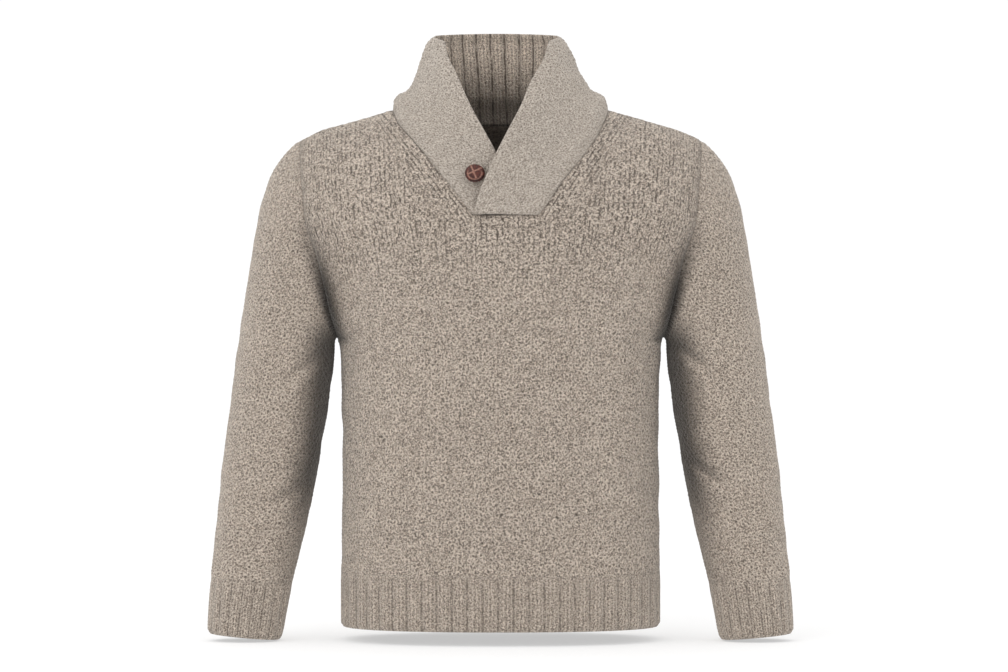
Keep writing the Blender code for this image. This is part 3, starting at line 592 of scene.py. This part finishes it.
def panelWalls(piece):
    g = garment
    across, u, share = panelGrid(piece)
    outer = panelPlace(piece, u, share)
    normals = gridNormals(outer) * -facing[piece]
    normals[-1, np.abs(across) > g["neckHalf"] / g["shoulderTipX"] - 1e-6, 1] = 0.0
    normals[: armpitRow + 1, [0, -1], 1] = 0.0
    normals[0, :, 2] = 0.0
    normals[armpitRow, [0, -1]] = g["armpitNormals"]
    normals = unit(normals)
    for column in (0, -1):
        normals[armpitRow:, column] = evened(normals[armpitRow:, column])
    neck = slice(neckColumn, len(across) - neckColumn)
    normals[-1, neck] = evened(normals[-1, neck])
    return outer, outer - g["wall"] * normals, normals


def stitchRelief(look, places):
    x = places[..., 0] / look["reliefPitch"]
    y = places[..., 1] / (2 * look["reliefCourse"])
    stitches = -look["relief"] * np.cos(2 * np.pi * x) * np.cos(2 * np.pi * y)
    return stitches + look["unevenness"] * slowWaves(places, 11, look["unevenSize"])


def lineDistance(x, z, line):  # how far places are from a line of points, seen from the front
    best = np.full(np.shape(x), 9.0)
    for start, end in zip(line[:-1], line[1:]):
        best = np.minimum(best, segmentDistance(x, z, start, end))
    return best


def pitShadeRamp(z):  # how strong the painted shade in the fold beside the arm is at a height, 0 to 1
    return smoothStep((panel["pitTop"] - z) / panel["pitRun"])


def makePanel(piece, materials):
    outer, inner, normals = panelWalls(piece)
    width, height = arcLengths(outer, 1), arcLengths(outer, 0)
    middle = width[armpitRow] - width[armpitRow, width.shape[1] // 2]
    knit = together(middle, height - height[armpitRow])
    fromSeam = np.minimum(np.minimum(width, width[:, -1:] - width), height[-1:] - height)
    x, z = outer[..., 0], outer[..., 2]
    yoke = smoothStep((z - panel["yokeLow"]) / (panel["yokeHigh"] - panel["yokeLow"]))
    slanted, slant = knit, np.zeros_like(x)
    fromNeck = np.where(np.abs(x) < garment["neckHalf"], height[-1:] - height, 9.0)
    if piece == "front":  # the ladders beside the V run along it
        fromNeck = lineDistance(x, z, neckline)
        fromSeam = np.minimum(fromSeam, fromNeck)
        end = np.where(x > 0, garment["neckFlatLeft"], garment["neckFlatRight"])
        reach = np.sign(x + 1e-9) * garment["neckHalf"] - end
        run = unit(together(reach, -garment["neckFlatZ"]))
        gone = together(x - end, z - garment["neckFlatZ"])
        away = np.abs(gone[..., 0] * run[..., 1] - gone[..., 1] * run[..., 0])
        along = np.sum(gone * run, axis=-1)
        slanted = together(away, along)
        slant = smoothStep((1.6 * panel["slantWidth"] - away) / panel["slantWidth"])
        slant = slant * smoothStep((along + 0.015) / 0.03)
    fade = clamp(np.minimum(fromSeam, height) / panel["edgeFade"])
    atSeam, atNeck = [bell(away, panel["seamWidth"]) for away in (fromSeam, fromNeck)]
    groove = np.maximum(panel["seamGroove"] * atSeam, panel["neckGroove"] * atNeck)
    relief = stitchRelief(panel, knit) * fade - groove
    seam = np.maximum(panel["softSeam"] * bell(fromSeam, panel["seamLine"]), bell(fromNeck, panel["neckLine"]))
    fromArm = smoothRead(armholeLine, z) - np.abs(x)
    # painted shade along the armhole seam, darkest low in the fold beside the arm
    shade = panel["pitShade"] * bell(fromArm, panel["pitWidth"]) * pitShadeRamp(z)
    shade = shade * smoothStep((z - garment["armpitHeight"] + 0.012) / 0.012)
    marks = {"yoke": yoke, "slant": slant, "seam": seam, "shade": shade}
    outer, maps = outer + normals * relief[..., None], {"knit": knit, "slanted": slanted}
    return clothShell(piece + "Panel", outer, inner, maps, marks, materials, coarser=garment["coarser"])


bodyWool = woolMaterial("oatmeal body knit", {**oatmeal, "dashes": 0.95, "slanted": True})
# the inner faces: the same yarn darkened as painted shade, with less sheen
insideShadeWool = woolMaterial("oatmeal inside in painted shade", {
    **oatmeal, "dark": (0.07, 0.057, 0.045), "light": (0.15, 0.124, 0.1),
    "creamAndHighlightColour": (0.21, 0.178, 0.146), "sheen": 0.1,
})
frontPanel = makePanel("front", [bodyWool, insideShadeWool])
backPanel = makePanel("back", [bodyWool, insideShadeWool])
print("panels made")

# sleeves

sleeve = {
    "rows": 288, "coarser": 4, "relief": 0.0006, "reliefPitch": 0.0085, "reliefCourse": 0.0045,
    "unevenness": 0.0006, "unevenSize": 0.04, "seamGroove": 0.0005, "seamWidth": 0.003,
    "innerShade": 0.95, "shadeFrom": -0.25, "shadeRun": 0.06,  # painted shade on the side towards the body: how dark, and where
    "clearShade": 0.75, "clearFrom": -0.46, "clearRun": 0.12,  # and less painted shade below, where the arm hangs clear of it
    "lean": 0.139, "middleX": 0.2834, "middleZ": -0.34,  # the line that the arm hangs along
}
sleeveTube = (  # z, the tube's radius, middle and half depth, for the stitches' places on it
    (-0.6197, 0.0505, -0.0215, 0.0395), (-0.533, 0.0573, -0.0165, 0.048), (-0.442, 0.0612, -0.0115, 0.055),
    (-0.34, 0.0614, -0.0065, 0.061), (-0.234, 0.062, -0.003, 0.066), (-0.134, 0.06, 0.0, 0.0695),
    (-0.095, 0.056, 0.0, 0.07), (-0.067, 0.045, 0.0, 0.07), (-0.04, 0.026, 0.0, 0.07),
)


def armholeLoop(side):
    end = -1 if side > 0 else 0
    fronts, backs = panelWalls("front"), panelWalls("back")
    loops = []
    for layer in range(2):
        front, back = fronts[layer][armpitRow:, end][::-1], backs[layer][armpitRow:, end]
        top, bottom = (front[0] + back[-1]) / 2, (front[-1] + back[0]) / 2
        loops.append(np.concatenate([[top], front[1:-1], [bottom], back[1:-1]]))
    return loops


def armRing(section, angles):
    outerX, outerZ, innerX, innerZ, half, y = section
    across, forward = roundedRing(angles, garment["armPower"])
    x = (outerX + innerX) / 2 + (outerX - innerX) / 2 * across
    z = (outerZ + innerZ) / 2 + (outerZ - innerZ) / 2 * across
    return together(x, y - half * forward, z)


def creaseRise(side, z, angles):
    total = np.zeros(np.shape(z))
    for creaseSide, height, angle, spread, slant, width, rise in sleeveCreases:
        if creaseSide == side:
            turn = (np.degrees(angles) - angle + 180) % 360 - 180
            total += rise * np.exp(-(((z - height - slant * turn / spread) / width) ** 2) - (turn / spread) ** 2)
    return total


def sleeveWalls(side):
    seamOuter, seamInner = armholeLoop(side)
    count = len(seamOuter)
    edge = np.roll(seamOuter, -1, axis=0) - np.roll(seamOuter, 1, axis=0)
    away = unit(np.cross(seamOuter - seamInner, edge)) * side * garment["seamGap"]
    seamOuter, seamInner = seamOuter + away, seamInner + away
    mirror = np.array([side, 1.0, 1.0])
    first = sleeveSections[0]
    top, bottom = np.array(first[:2]), np.array(first[2:4])
    down = (top - bottom) / np.sum((top - bottom) ** 2)
    height = np.clip(2 * ((seamOuter * mirror)[:, [0, 2]] - bottom) @ down - 1, -1, 1)
    seamAngles = np.arccos(np.sign(height) * np.abs(height) ** (garment["armPower"] / 2))
    seamAngles[count // 2 + 1 :] = 2 * np.pi - seamAngles[count // 2 + 1 :]
    even = np.linspace(0, 2 * np.pi, count, endpoint=False)
    places = np.linspace(0, 1, sleeve["rows"] + 1)
    places = (places + 0.35 * (places**1.6 - places)) * (len(sleeveSections) - 1)  # closer rings near the armhole
    at = np.arange(len(sleeveSections), dtype=float)
    rings = []
    for place in places:
        turn = seamAngles + (even - seamAngles) * smoothStep(place / 9)
        ring = armRing(sectionAt(sleeveSections, place, at), turn)
        if place == 0:
            leftOver = seamOuter * mirror - ring
        rings.append((ring + leftOver * smoothStep(1 - place / 6)) * mirror)
    outer = np.roll(np.array(rings), -(count // 2), axis=1)  # the columns start at the inner side
    outer = np.concatenate([outer, outer[:, :1]], axis=1)
    angles = np.roll(even, -(count // 2))
    angles = np.broadcast_to(np.append(angles, angles[0]), outer.shape[:2])
    fades = [clamp(share)[:, None] for share in (places / 5, (15 - places) / 2)]  # no crease at the seams
    rise = creaseRise(side, outer[..., 2], angles) * fades[0] * fades[1]
    outer = outer + gridNormals(outer, True) * side * rise[..., None]
    normals = gridNormals(outer, True) * side
    normals[-1, :, 2] = 0.0
    normals = unit(normals)
    inner = outer - garment["wall"] * normals
    seamInner = np.roll(seamInner, -(count // 2), axis=0)
    inner[0] = np.concatenate([seamInner, seamInner[:1]])
    for row in range(1, 7):  # no step between the seam's wall and the next rings
        inner[row] = inner[0] + (inner[7] - inner[0]) * row / 7
    return outer, inner, normals


def sleeveKnit(side, outer):
    x, y, z = outer[..., 0] * side, outer[..., 1], outer[..., 2]
    centre = sleeve["middleX"] - sleeve["lean"] * (z - sleeve["middleZ"])
    at, *columns = np.array(sleeveTube).T
    radius, middle, half = [np.interp(z, at, column) for column in columns]
    angle = np.unwrap(np.arctan2((middle - y) / half, (x - centre) / radius), axis=1)
    angle -= 2 * np.pi * np.rint(angle[:, angle.shape[1] // 2 :][:, :1] / (2 * np.pi))
    return together(angle * (radius + half) / 2, z + sleeve["lean"] * (x - centre))


def makeSleeve(name, side, materials):
    outer, inner, normals = sleeveWalls(side)
    knit = sleeveKnit(side, outer)
    height = arcLengths(outer, 0)
    fade = clamp(np.minimum(height, height[-1:] - height) / panel["edgeFade"])
    relief = stitchRelief(sleeve, knit) * fade - sleeve["seamGroove"] * bell(height, sleeve["seamWidth"])
    relief[:, -1] = relief[:, 0] = (relief[:, 1] + relief[:, -2]) / 2
    z, inward = outer[..., 2], -normals[..., 0] * side
    # painted shade on the side towards the body, and in the fold at the armhole
    shade = sleeve["innerShade"] * smoothStep((inward - 0.1) / 0.8)
    shade = shade * smoothStep((sleeve["shadeFrom"] - z) / sleeve["shadeRun"])
    shade = shade * (1 - sleeve["clearShade"] * smoothStep((sleeve["clearFrom"] - z) / sleeve["clearRun"]))
    shade = np.maximum(shade, panel["pitShade"] * bell(height, panel["pitWidth"]) * pitShadeRamp(z))
    shade[:, -1] = shade[:, 0]
    marks = {"seam": panel["softSeam"] * bell(height, panel["seamLine"]), "shade": shade}
    outer = outer + normals * relief[..., None]
    return clothShell(name, outer, inner, {"knit": knit}, marks, materials, around=True, coarser=sleeve["coarser"])


sleeveWool = woolMaterial("oatmeal sleeve knit", {
    **oatmeal, "pitch": 0.0082, "course": 0.0043, "pitSize": 0.28, "pits": 0.8, "curl": 0.0014,
    "gapDepth": 0.75, "curls": 0.6, "curlScale": 290.0, "lipHighlight": 0.4,
})
sleeveLeft = makeSleeve("sleeveLeft", 1, [sleeveWool, insideShadeWool])
sleeveRight = makeSleeve("sleeveRight", -1, [sleeveWool, insideShadeWool])
print("sleeves made")

# ribbed bands

rib = {
    "hemRibs": 54, "cuffRibs": 20, "pointsARib": 12, "rows": 32, "coarser": 4,
    "hemHeight": 0.0016, "cuffHeight": 0.0013, "hemPitch": 0.02, "cuffPitch": 0.0137, "sink": 0.6,
    "waleGroove": 0.0003, "waleWidth": 0.055,  # the line between a rib's two wales
    "stitch": 0.0045, "stitchRelief": 0.00025, "footRound": 0.004, "riseFrom": 0.012,
}


def ribWave(position, height):
    return height * (0.5 + 0.5 * np.cos(2 * np.pi * position)) ** 0.8


def bodyRing(section, angles):
    z, side, front, back = section
    across, forward = roundedRing(angles, garment["bodyPower"])
    depth = np.where(forward > 0, front, back) * forward
    return together(-side * across, -depth, z)


def evenAngles(ringOf, count):
    fine = np.linspace(0, 2 * np.pi, 4001)
    run = runLength(np.linalg.norm(np.diff(ringOf(fine), axis=0), axis=1))
    return np.interp(np.arange(count + 1) * run[-1] / count, run, fine)


def makeBand(name, sections, heightKey, ringOf, ribs, height, flip, pitch, material):
    count = ribs * rib["pointsARib"]
    angles = evenAngles(lambda at: ringOf(sections[0], at), count)
    heights = np.linspace(0, 1, rib["rows"] + 1)
    run = np.array([section[heightKey] for section in sections])
    heights = run[0] + (run[-1] - run[0]) * (heights + 0.25 * (heights - heights**2))
    rings = []
    for at in heights:
        rings.append(ringOf(sectionAt(sections, -at, -run), angles))
    rings = np.array(rings)[::-1]
    normals = gridNormals(rings, True) * flip
    normals[..., 2] = 0.0
    normals = unit(normals)
    position = np.arange(count + 1) / rib["pointsARib"]
    wave = ribWave(position, height)
    top = bell((position + 0.5) % 1 - 0.5, rib["waleWidth"]) * rib["waleGroove"]
    z = rings[..., 2]
    shift = 0.25 * np.sign(np.sin(2 * np.pi * position))  # the two wales' stitches lie in turn
    courses = rib["stitchRelief"] * np.cos(2 * np.pi * (z / rib["stitch"] + shift)) * (wave / height)
    rounded = clamp((z - z[:1]) / rib["footRound"])
    relief = (wave - rib["sink"] * height - top + courses) * (0.45 + 0.55 * rounded**0.5)
    relief = relief * smoothStep((z[-1:] - z) / rib["riseFrom"])
    relief[:, -1] = relief[:, 0]
    maps, marks = {"knit": together(position * pitch, z)}, {"yoke": 1 - wave / height}
    outer, inner = rings + normals * relief[..., None], rings - (garment["wall"] - height / 2) * normals
    return clothShell(name, outer, inner, maps, marks, [material], around=True, coarser=rib["coarser"])


def ribMaterial(name, look):
    material = woolMaterial(name, look)
    tree = material.node_tree
    colour = tree.nodes["Principled BSDF"].inputs["Base Color"].links[0].from_socket
    spot = mapOf(tree, "knit")
    place = addNode("SeparateXYZ", {0: spot})
    position, run = maths("DIVIDE", place.outputs[0], look["ribPitch"]), place.outputs[1]
    swing = fromHalf(maths("ADD", position, 0.5))  # 0 on a rib, 0.5 in a valley
    wale = fromHalf(times(position, 4.0))
    along = addNode("Mapping", {"Vector": spot, "Scale": (420.0, 60.0, 1.0)}).outputs[0]
    uneven = between(noiseOf(along, 1.0, 1.0), 0.35, 0.62, 0.25, 1.0)
    if "seamTop" in look:  # the ribs start under the seam
        start = between(run, look["seamTop"], look["seamTop"] - rib["riseFrom"], 0.3, 1.0)
        uneven = times(uneven, start)
    # painted shade in the ribs' valleys, along the line between a rib's wales and between the wales, and painted
    # highlight on the wales
    layers = (
        (between(swing, 0.24, 0.4), look["valley"], "seamAndShadeColour"),
        (between(swing, 0.42, 0.49), look["deep"], "seamAndShadeColour"),
        (between(swing, 0.06, 0.0), look["waleLine"], "seamAndShadeColour"),
        (between(wale, 0.18, 0.04), look["crest"], "creamAndHighlightColour"),
        (between(wale, 0.36, 0.5), look["between"], "seamAndShadeColour"),
    )
    layers = [(times(share, uneven), most, shade) for share, most, shade in layers]
    colour = layered(colour, layers, look)
    if "shadeTop" in look:  # the light falls off down the inside of the neck
        low = between(run, 0.0, look["shadeTop"], look["shadeLow"], 0.0)
        colour = mixed(low, colour, (*look["paintedShadeColour"], 1.0))
    feedShader(tree, {"Base Color": colour})
    return material


ribLook = {
    **oatmeal, "pitch": 0.0052, "course": 0.0034, "pits": 0.6, "pitSize": 0.3, "gapDepth": 0.65,
    "wobble": 0.0014, "curl": 0.001, "lipHighlight": 0.25, "curls": 0.75, "curlScale": 290.0, "mazeScale": 450.0,
    "ribPitch": rib["hemPitch"], "valley": 0.38, "deep": 0.25, "waleLine": 0.18, "crest": 0.44, "between": 0.36,
    "seam": 0.3,
}
hemWool = ribMaterial("oatmeal hem rib", {**ribLook, "seamTop": garment["hemTop"]})
cuffWool = ribMaterial("oatmeal cuff rib", {
    **ribLook, "ribPitch": rib["cuffPitch"], "seamTop": garment["cuffTop"],
})
hemBand = makeBand(
    "hemRib", hemSections, 0, bodyRing, rib["hemRibs"], rib["hemHeight"], 1, rib["hemPitch"], hemWool
)
cuffs = {}
for side, name in ((1, "cuffLeft"), (-1, "cuffRight")):
    ringOf = lambda section, at, side=side: armRing(section, at) * np.array([side, 1.0, 1.0])
    cuffs[side] = makeBand(
        name, cuffSections, 1, ringOf, rib["cuffRibs"], rib["cuffHeight"], -side, rib["cuffPitch"], cuffWool
    )
print("ribs made")

# shawl collar

collar = {
    "wall": 0.0035, "frontColumns": 100, "backRibs": 20, "pointsARib": 12, "rows": 84,
    "ribHeight": 0.0018, "ribPitch": 0.02, "waleGroove": 0.0006, "waleWidth": 0.06,
    "unevenness": 0.0006, "unevenSize": 0.035, "pebbles": 0.0007, "pebbleSize": (0.0105, 0.0125),
    "edgeRound": 0.0016, "edgeWidth": 0.0035, "outerFade": 0.006, "innerFade": 0.004,
    "seamGroove": 0.0006, "seamWidth": 0.0022, "seamLine": 0.0014,
}


def readLine(line, shares):
    run = runLength(np.linalg.norm(np.diff(line, axis=0), axis=1))
    return together(*[np.interp(shares * run[-1], run, values) for values in line.T])


def neckEdges(piece):
    outer, inner = [layer[-1] for layer in panelWalls(piece)[:2]]
    neck = slice(neckColumn, -neckColumn)
    away = unit(np.cross(np.gradient(outer, axis=0), outer - inner)) * garment["seamGap"] * facing[piece]
    return (outer + away)[neck], (inner + away)[neck]


def makeCollar(materials):
    frontOuter, frontInner = neckEdges("front")
    backOuter, backInner = neckEdges("back")
    side, flat, finer = garment["sideNeckColumns"], garment["flatNeckColumns"], garment["finer"]
    right, left = slice((side + flat - 4) * finer, None, -1), slice(None, (side + flat) * finer - 1, -1)
    front = np.linspace(0, 1, collar["frontColumns"] + 1)
    back = np.linspace(0, 1, collar["backRibs"] * collar["pointsARib"] + 1)
    stretches = (
        (frontOuter[right], frontInner[right], collarEdgeRight, front[:-1], front[:-1]),
        (backOuter, backInner, collarEdgeBack, back, back),
        (frontOuter[left], frontInner[left], collarEdgeLeft, front[1:], 1 - front[1:]),
    )
    parts = []
    for outerLine, innerLine, table, alongSeam, alongEdge in stretches:
        atBack = table is collarEdgeBack
        parts.append((
            readLine(outerLine, alongSeam),
            readLine(innerLine, alongSeam),
            together(*[smoothRead(table, alongEdge, key) for key in (1, 2, 3)]),
            1 - 0.5 * np.sin(np.pi * alongEdge) ** 4 if atBack else alongEdge**1.5,
            np.ones_like(alongEdge) if atBack else alongEdge**1.5,
        ))
    seamOuter, seamInner, freeEdge, stand, behind = [np.concatenate(part) for part in zip(*parts)]
    heights = np.linspace(0, 1, collar["rows"] + 1)
    rise = heights[:, None, None]
    outer = seamOuter * (1 - rise) + freeEdge * rise
    profile = smoothRead(collarProfile, heights)[:, None] * (0.3 + 0.7 * stand)
    outer = outer + -gridNormals(outer) * profile[..., None]
    normals = -gridNormals(outer)
    normals[:, [0, -1], 2] = 0.0
    normals = unit(normals)
    position = (np.arange(outer.shape[1]) - collar["frontColumns"]) / collar["pointsARib"]
    strength = clamp(stand * 4 - 2)
    groove = bell((position + 0.5) % 1 - 0.5, collar["waleWidth"]) * collar["waleGroove"]
    wave = (ribWave(position, collar["ribHeight"]) - groove) * strength
    width = arcLengths(outer, 0)
    length = arcLengths(outer, 1)[collar["rows"] // 2]
    fromFree = width[-1:] - width
    fromEdge = np.minimum(width, fromFree)
    fromEnds = np.minimum(length, length[-1] - length)
    knit = together(length, width)
    rounding = -collar["edgeRound"] * clamp(1 - fromFree / collar["edgeWidth"]) ** 2
    rounding = rounding - collar["edgeRound"] * clamp(1 - fromEnds / collar["edgeWidth"])[None, :] ** 2
    rounding = rounding - collar["seamGroove"] * bell(width, collar["seamWidth"])
    pebbles = collar["pebbles"]
    for axis, size in enumerate(collar["pebbleSize"]):
        pebbles = pebbles * np.cos(2 * np.pi * knit[..., axis] / size)
    pebbles = pebbles * behind**0.5
    uneven = collar["unevenness"] * slowWaves(knit, 5, collar["unevenSize"])
    relief = rounding + (uneven + pebbles) * clamp(fromEdge / collar["outerFade"])
    wave = wave[None, :] * np.clip(fromEdge / collar["innerFade"], 0.3, 1)
    thick = (collar["wall"] - collar["ribHeight"] / 2) + wave
    inner = outer - normals * thick[..., None]
    inner[0] = seamInner
    outer = outer + normals * relief[..., None]
    maps = {"knit": knit, "ribs": together(position * collar["ribPitch"], width)}
    marks = {"yoke": behind, "slant": strength, "seam": bell(width, collar["seamLine"])}
    return clothShell("shawlCollar", outer, inner, maps, marks, materials)


lapelWool = woolMaterial("oatmeal lapel knit", {
    **oatmeal, "dark": (0.245, 0.206, 0.171), "light": (0.48, 0.419, 0.359),
    "creamAndHighlightColour": (0.7, 0.628, 0.55), "greyColour": (0.18, 0.152, 0.128),
    "pitch": 0.0068, "course": 0.004, "pits": 0.9, "gapDepth": 0.66, "wobble": 0.0024, "curl": 0.0018,
    "lipHighlight": 0.42, "cream": 0.45, "grey": 0.45, "curls": 0.85, "curlScale": 300.0, "mazeScale": 420.0,
    "mazeSoft": 0.1, "hairLight": 0.25, "hairDark": 0.25, "bump": 0.6, "seam": 0.35, "smoothFront": 0.7,
})
# its colours are far lighter than the yarn's, as painted light on the inside of the neck, and painted shade
# darkens them towards the seam
insideWool = ribMaterial("oatmeal collar rib", {
    **ribLook, "dark": (0.44, 0.348, 0.275), "light": (0.93, 0.775, 0.64),
    "creamAndHighlightColour": (0.96, 0.83, 0.7), "seamAndShadeColour": (0.115, 0.088, 0.068),
    "ribPitch": collar["ribPitch"], "valley": 0.8, "deep": 0.7, "between": 0.42, "crest": 0.7,
    "shadeTop": 0.098, "shadeLow": 0.76,  # the height where the shade ends, and its strength at the seam
})
for node in insideWool.node_tree.nodes:  # its stitches follow the ribs
    if node.type == "UVMAP":
        node.uv_map = "ribs"
shawl = makeCollar([lapelWool, insideWool])
print("collar made")

# button

knot = {
    "width": 0.0278, "height": 0.0246, "depth": 0.014, "shrink": (0.965, 0.97, 0.965),
    "around": 96, "rows": 60,
    "edges": (((-0.42, 0.9), (0.12, -0.52)), ((-0.66, -0.12), (0.62, 0.56))),  # the crossing strips' edges, drawn as pale lines
    "edgeWidth": 0.075, "ring": 0.7, "gapWidth": 0.07, "joinWidth": 0.06,
    "gapFrom": -125.0, "gapTo": -5.0, "turns": (12.0, 78.0, 128.0, 196.0, 250.0),  # degrees
    "dark": (0.04, 0.01, 0.007, 1.0), "light": (0.11, 0.027, 0.018, 1.0),
    "wornColour": (0.43, 0.225, 0.165, 1.0), "seamAndShadeColour": (0.01, 0.005, 0.004, 1.0),
}


def leatherMaterial():
    material, tree = newMaterial("red-brown leather")
    thing = addNode("TexCoord", {}, tree).outputs["Object"]
    mark = marksOf(tree, ("worn", "gap"))
    grain = addNode("TexVoronoi", {"Vector": thing, "Scale": 1500.0}).outputs["Distance"]
    stain = noiseOf(thing, 420.0, 3.0, kind="3D")
    colour = mixed(between(stain, 0.38, 0.66), knot["dark"], knot["light"])
    worn = times(mark["worn"], between(stain, 0.25, 0.6, 0.35, 0.8))
    colour = mixed(worn, colour, knot["wornColour"])
    # painted shadow in the crescent under the last strip, and the dark joins between the strips
    colour = mixed(mark["gap"], colour, knot["seamAndShadeColour"])
    height = maths("MULTIPLY_ADD", grain, 0.4, stain)
    bump = addNode("Bump", {"Height": height, "Strength": 0.35, "Distance": 0.0003}).outputs[0]
    feedShader(tree, {
        "Base Color": colour, "Normal": bump, "Roughness": 0.48, "Specular IOR Level": 0.3,
        "Coat Weight": 0.1, "Coat Roughness": 0.3,
    })
    return material


def makeButton():
    low, high = [np.array(corner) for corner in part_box("button")]
    ball = bmesh.new()
    bmesh.ops.create_uvsphere(ball, u_segments=knot["around"], v_segments=knot["rows"], radius=1.0)
    mesh = meshFrom(ball, "button")
    x, z, out = placesOf(mesh).T.astype(float)
    reach = np.hypot(x, z)
    turn = np.degrees(np.arctan2(z, x))
    face = smoothStep(out / 0.25)
    worn = np.zeros_like(x)
    for start, end in knot["edges"]:
        worn = np.maximum(worn, bell(segmentDistance(x, z, start, end), knot["edgeWidth"]))
    lower = smoothStep((0.45 - z) / 0.5)
    worn = np.maximum(worn, 0.8 * lower * bell(reach - knot["ring"], knot["edgeWidth"])) * face
    # a dark crescent on the lower right: painted shadow under the last strip
    window = smoothStep((turn - knot["gapFrom"]) / 30) * smoothStep((knot["gapTo"] - turn) / 30)
    gap = window * bell(reach - knot["ring"] - 0.15, knot["gapWidth"]) * face
    rim = smoothStep((reach - 0.74) / 0.1) * smoothStep((out + 0.5) / 0.3)
    for start in knot["turns"]:  # the strips' joins round the rim
        off = np.radians((turn - start + 180) % 360 - 180) * reach
        gap = np.maximum(gap, 0.8 * bell(off, knot["joinWidth"]) * rim)
    swell = np.where(out < -0.2, 0.97, 0.955 + 0.045 * worn - 0.1 * gap)
    sizes = np.array([knot["width"], -knot["depth"], knot["height"]])
    places = together(x, out, z) * sizes / 2 * swell[:, None] * knot["shrink"] + (low + high) / 2
    setPlaces(mesh, places, {"worn": worn, "gap": gap})
    button = showPiece("knotButton", mesh, [leatherMaterial()])
    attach(button, "root")
    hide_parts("button")


makeButton()
print("button made")

setUp(frontPanel, "front")
setUp(backPanel, "back")
setUp(sleeveLeft, "sleeve_left")
setUp(sleeveRight, "sleeve_right")
setUp(hemBand, "hem_rib")
setUp(cuffs[1], "cuff_left")
setUp(cuffs[-1], "cuff_right")
setUp(shawl, "collar")

# floor, light and camera

studio = {
    "floor": -0.6877, "floorSize": 9.0, "floorGlow": 0.5, "floorShade": 0.51, "worldLight": 1.03,
    "lights": (  # name, place, towards, size, power
        ("key", (-1.9, -2.5, 1.7), (0.0, 0.0, -0.3), 3.6, 22.0),
        ("top", (-0.5, -0.4, 2.3), (0.0, 0.0, -0.2), 3.2, 9.0),
    ),
    "distance": 4.6, "centre": (0.00455, -0.2938), "lens": 126.37, "sensor": 36.0,  # the camera's
}


def addLight(name, place, towards, size, power):
    lamp = bpy.data.lights.new(name, "AREA")
    lamp.shape, lamp.size, lamp.energy = "DISK", size, power
    light = bpy.data.objects.new(name, lamp)
    light.location = place
    x, y, z = np.array(towards) - np.array(place)
    light.rotation_euler = (float(np.arctan2(np.hypot(x, y), -z)), 0.0, float(np.arctan2(-x, y)))
    bpy.context.scene.collection.objects.link(light)


def setStage():
    scene = bpy.context.scene
    sheet = bmesh.new()
    height = Matrix.Translation((0, 0, studio["floor"]))
    bmesh.ops.create_grid(sheet, x_segments=1, y_segments=1, size=studio["floorSize"], matrix=height)
    paint, tree = newMaterial("pale floor")
    feedShader(tree, {
        "Base Color": (*[studio["floorShade"]] * 3, 1.0), "Emission Color": (1.0, 1.0, 1.0, 1.0),
        "Emission Strength": studio["floorGlow"], "Roughness": 1.0, "Specular IOR Level": 0.0,
    })
    floor = bpy.data.objects.new("floor", meshFrom(sheet, "floor"))
    floor.data.materials.append(paint)
    scene.collection.objects.link(floor)
    world = bpy.data.worlds.new("studio")
    world.use_nodes = True
    sky = {"Color": (1.0, 1.0, 1.0, 1.0), "Strength": studio["worldLight"]}
    feed(world.node_tree.nodes["Background"], sky)
    scene.world = world
    for light in studio["lights"]:
        addLight(*light)
    camera = bpy.data.objects.new("camera", bpy.data.cameras.new("camera"))
    camera.data.lens, camera.data.sensor_width = studio["lens"], studio["sensor"]
    camera.location = (studio["centre"][0], -studio["distance"], studio["centre"][1])
    camera.rotation_euler = (np.pi / 2, 0.0, 0.0)
    scene.collection.objects.link(camera)
    scene.camera = camera
    scene.view_settings.view_transform = "Standard"


setStage()
print("stage set")
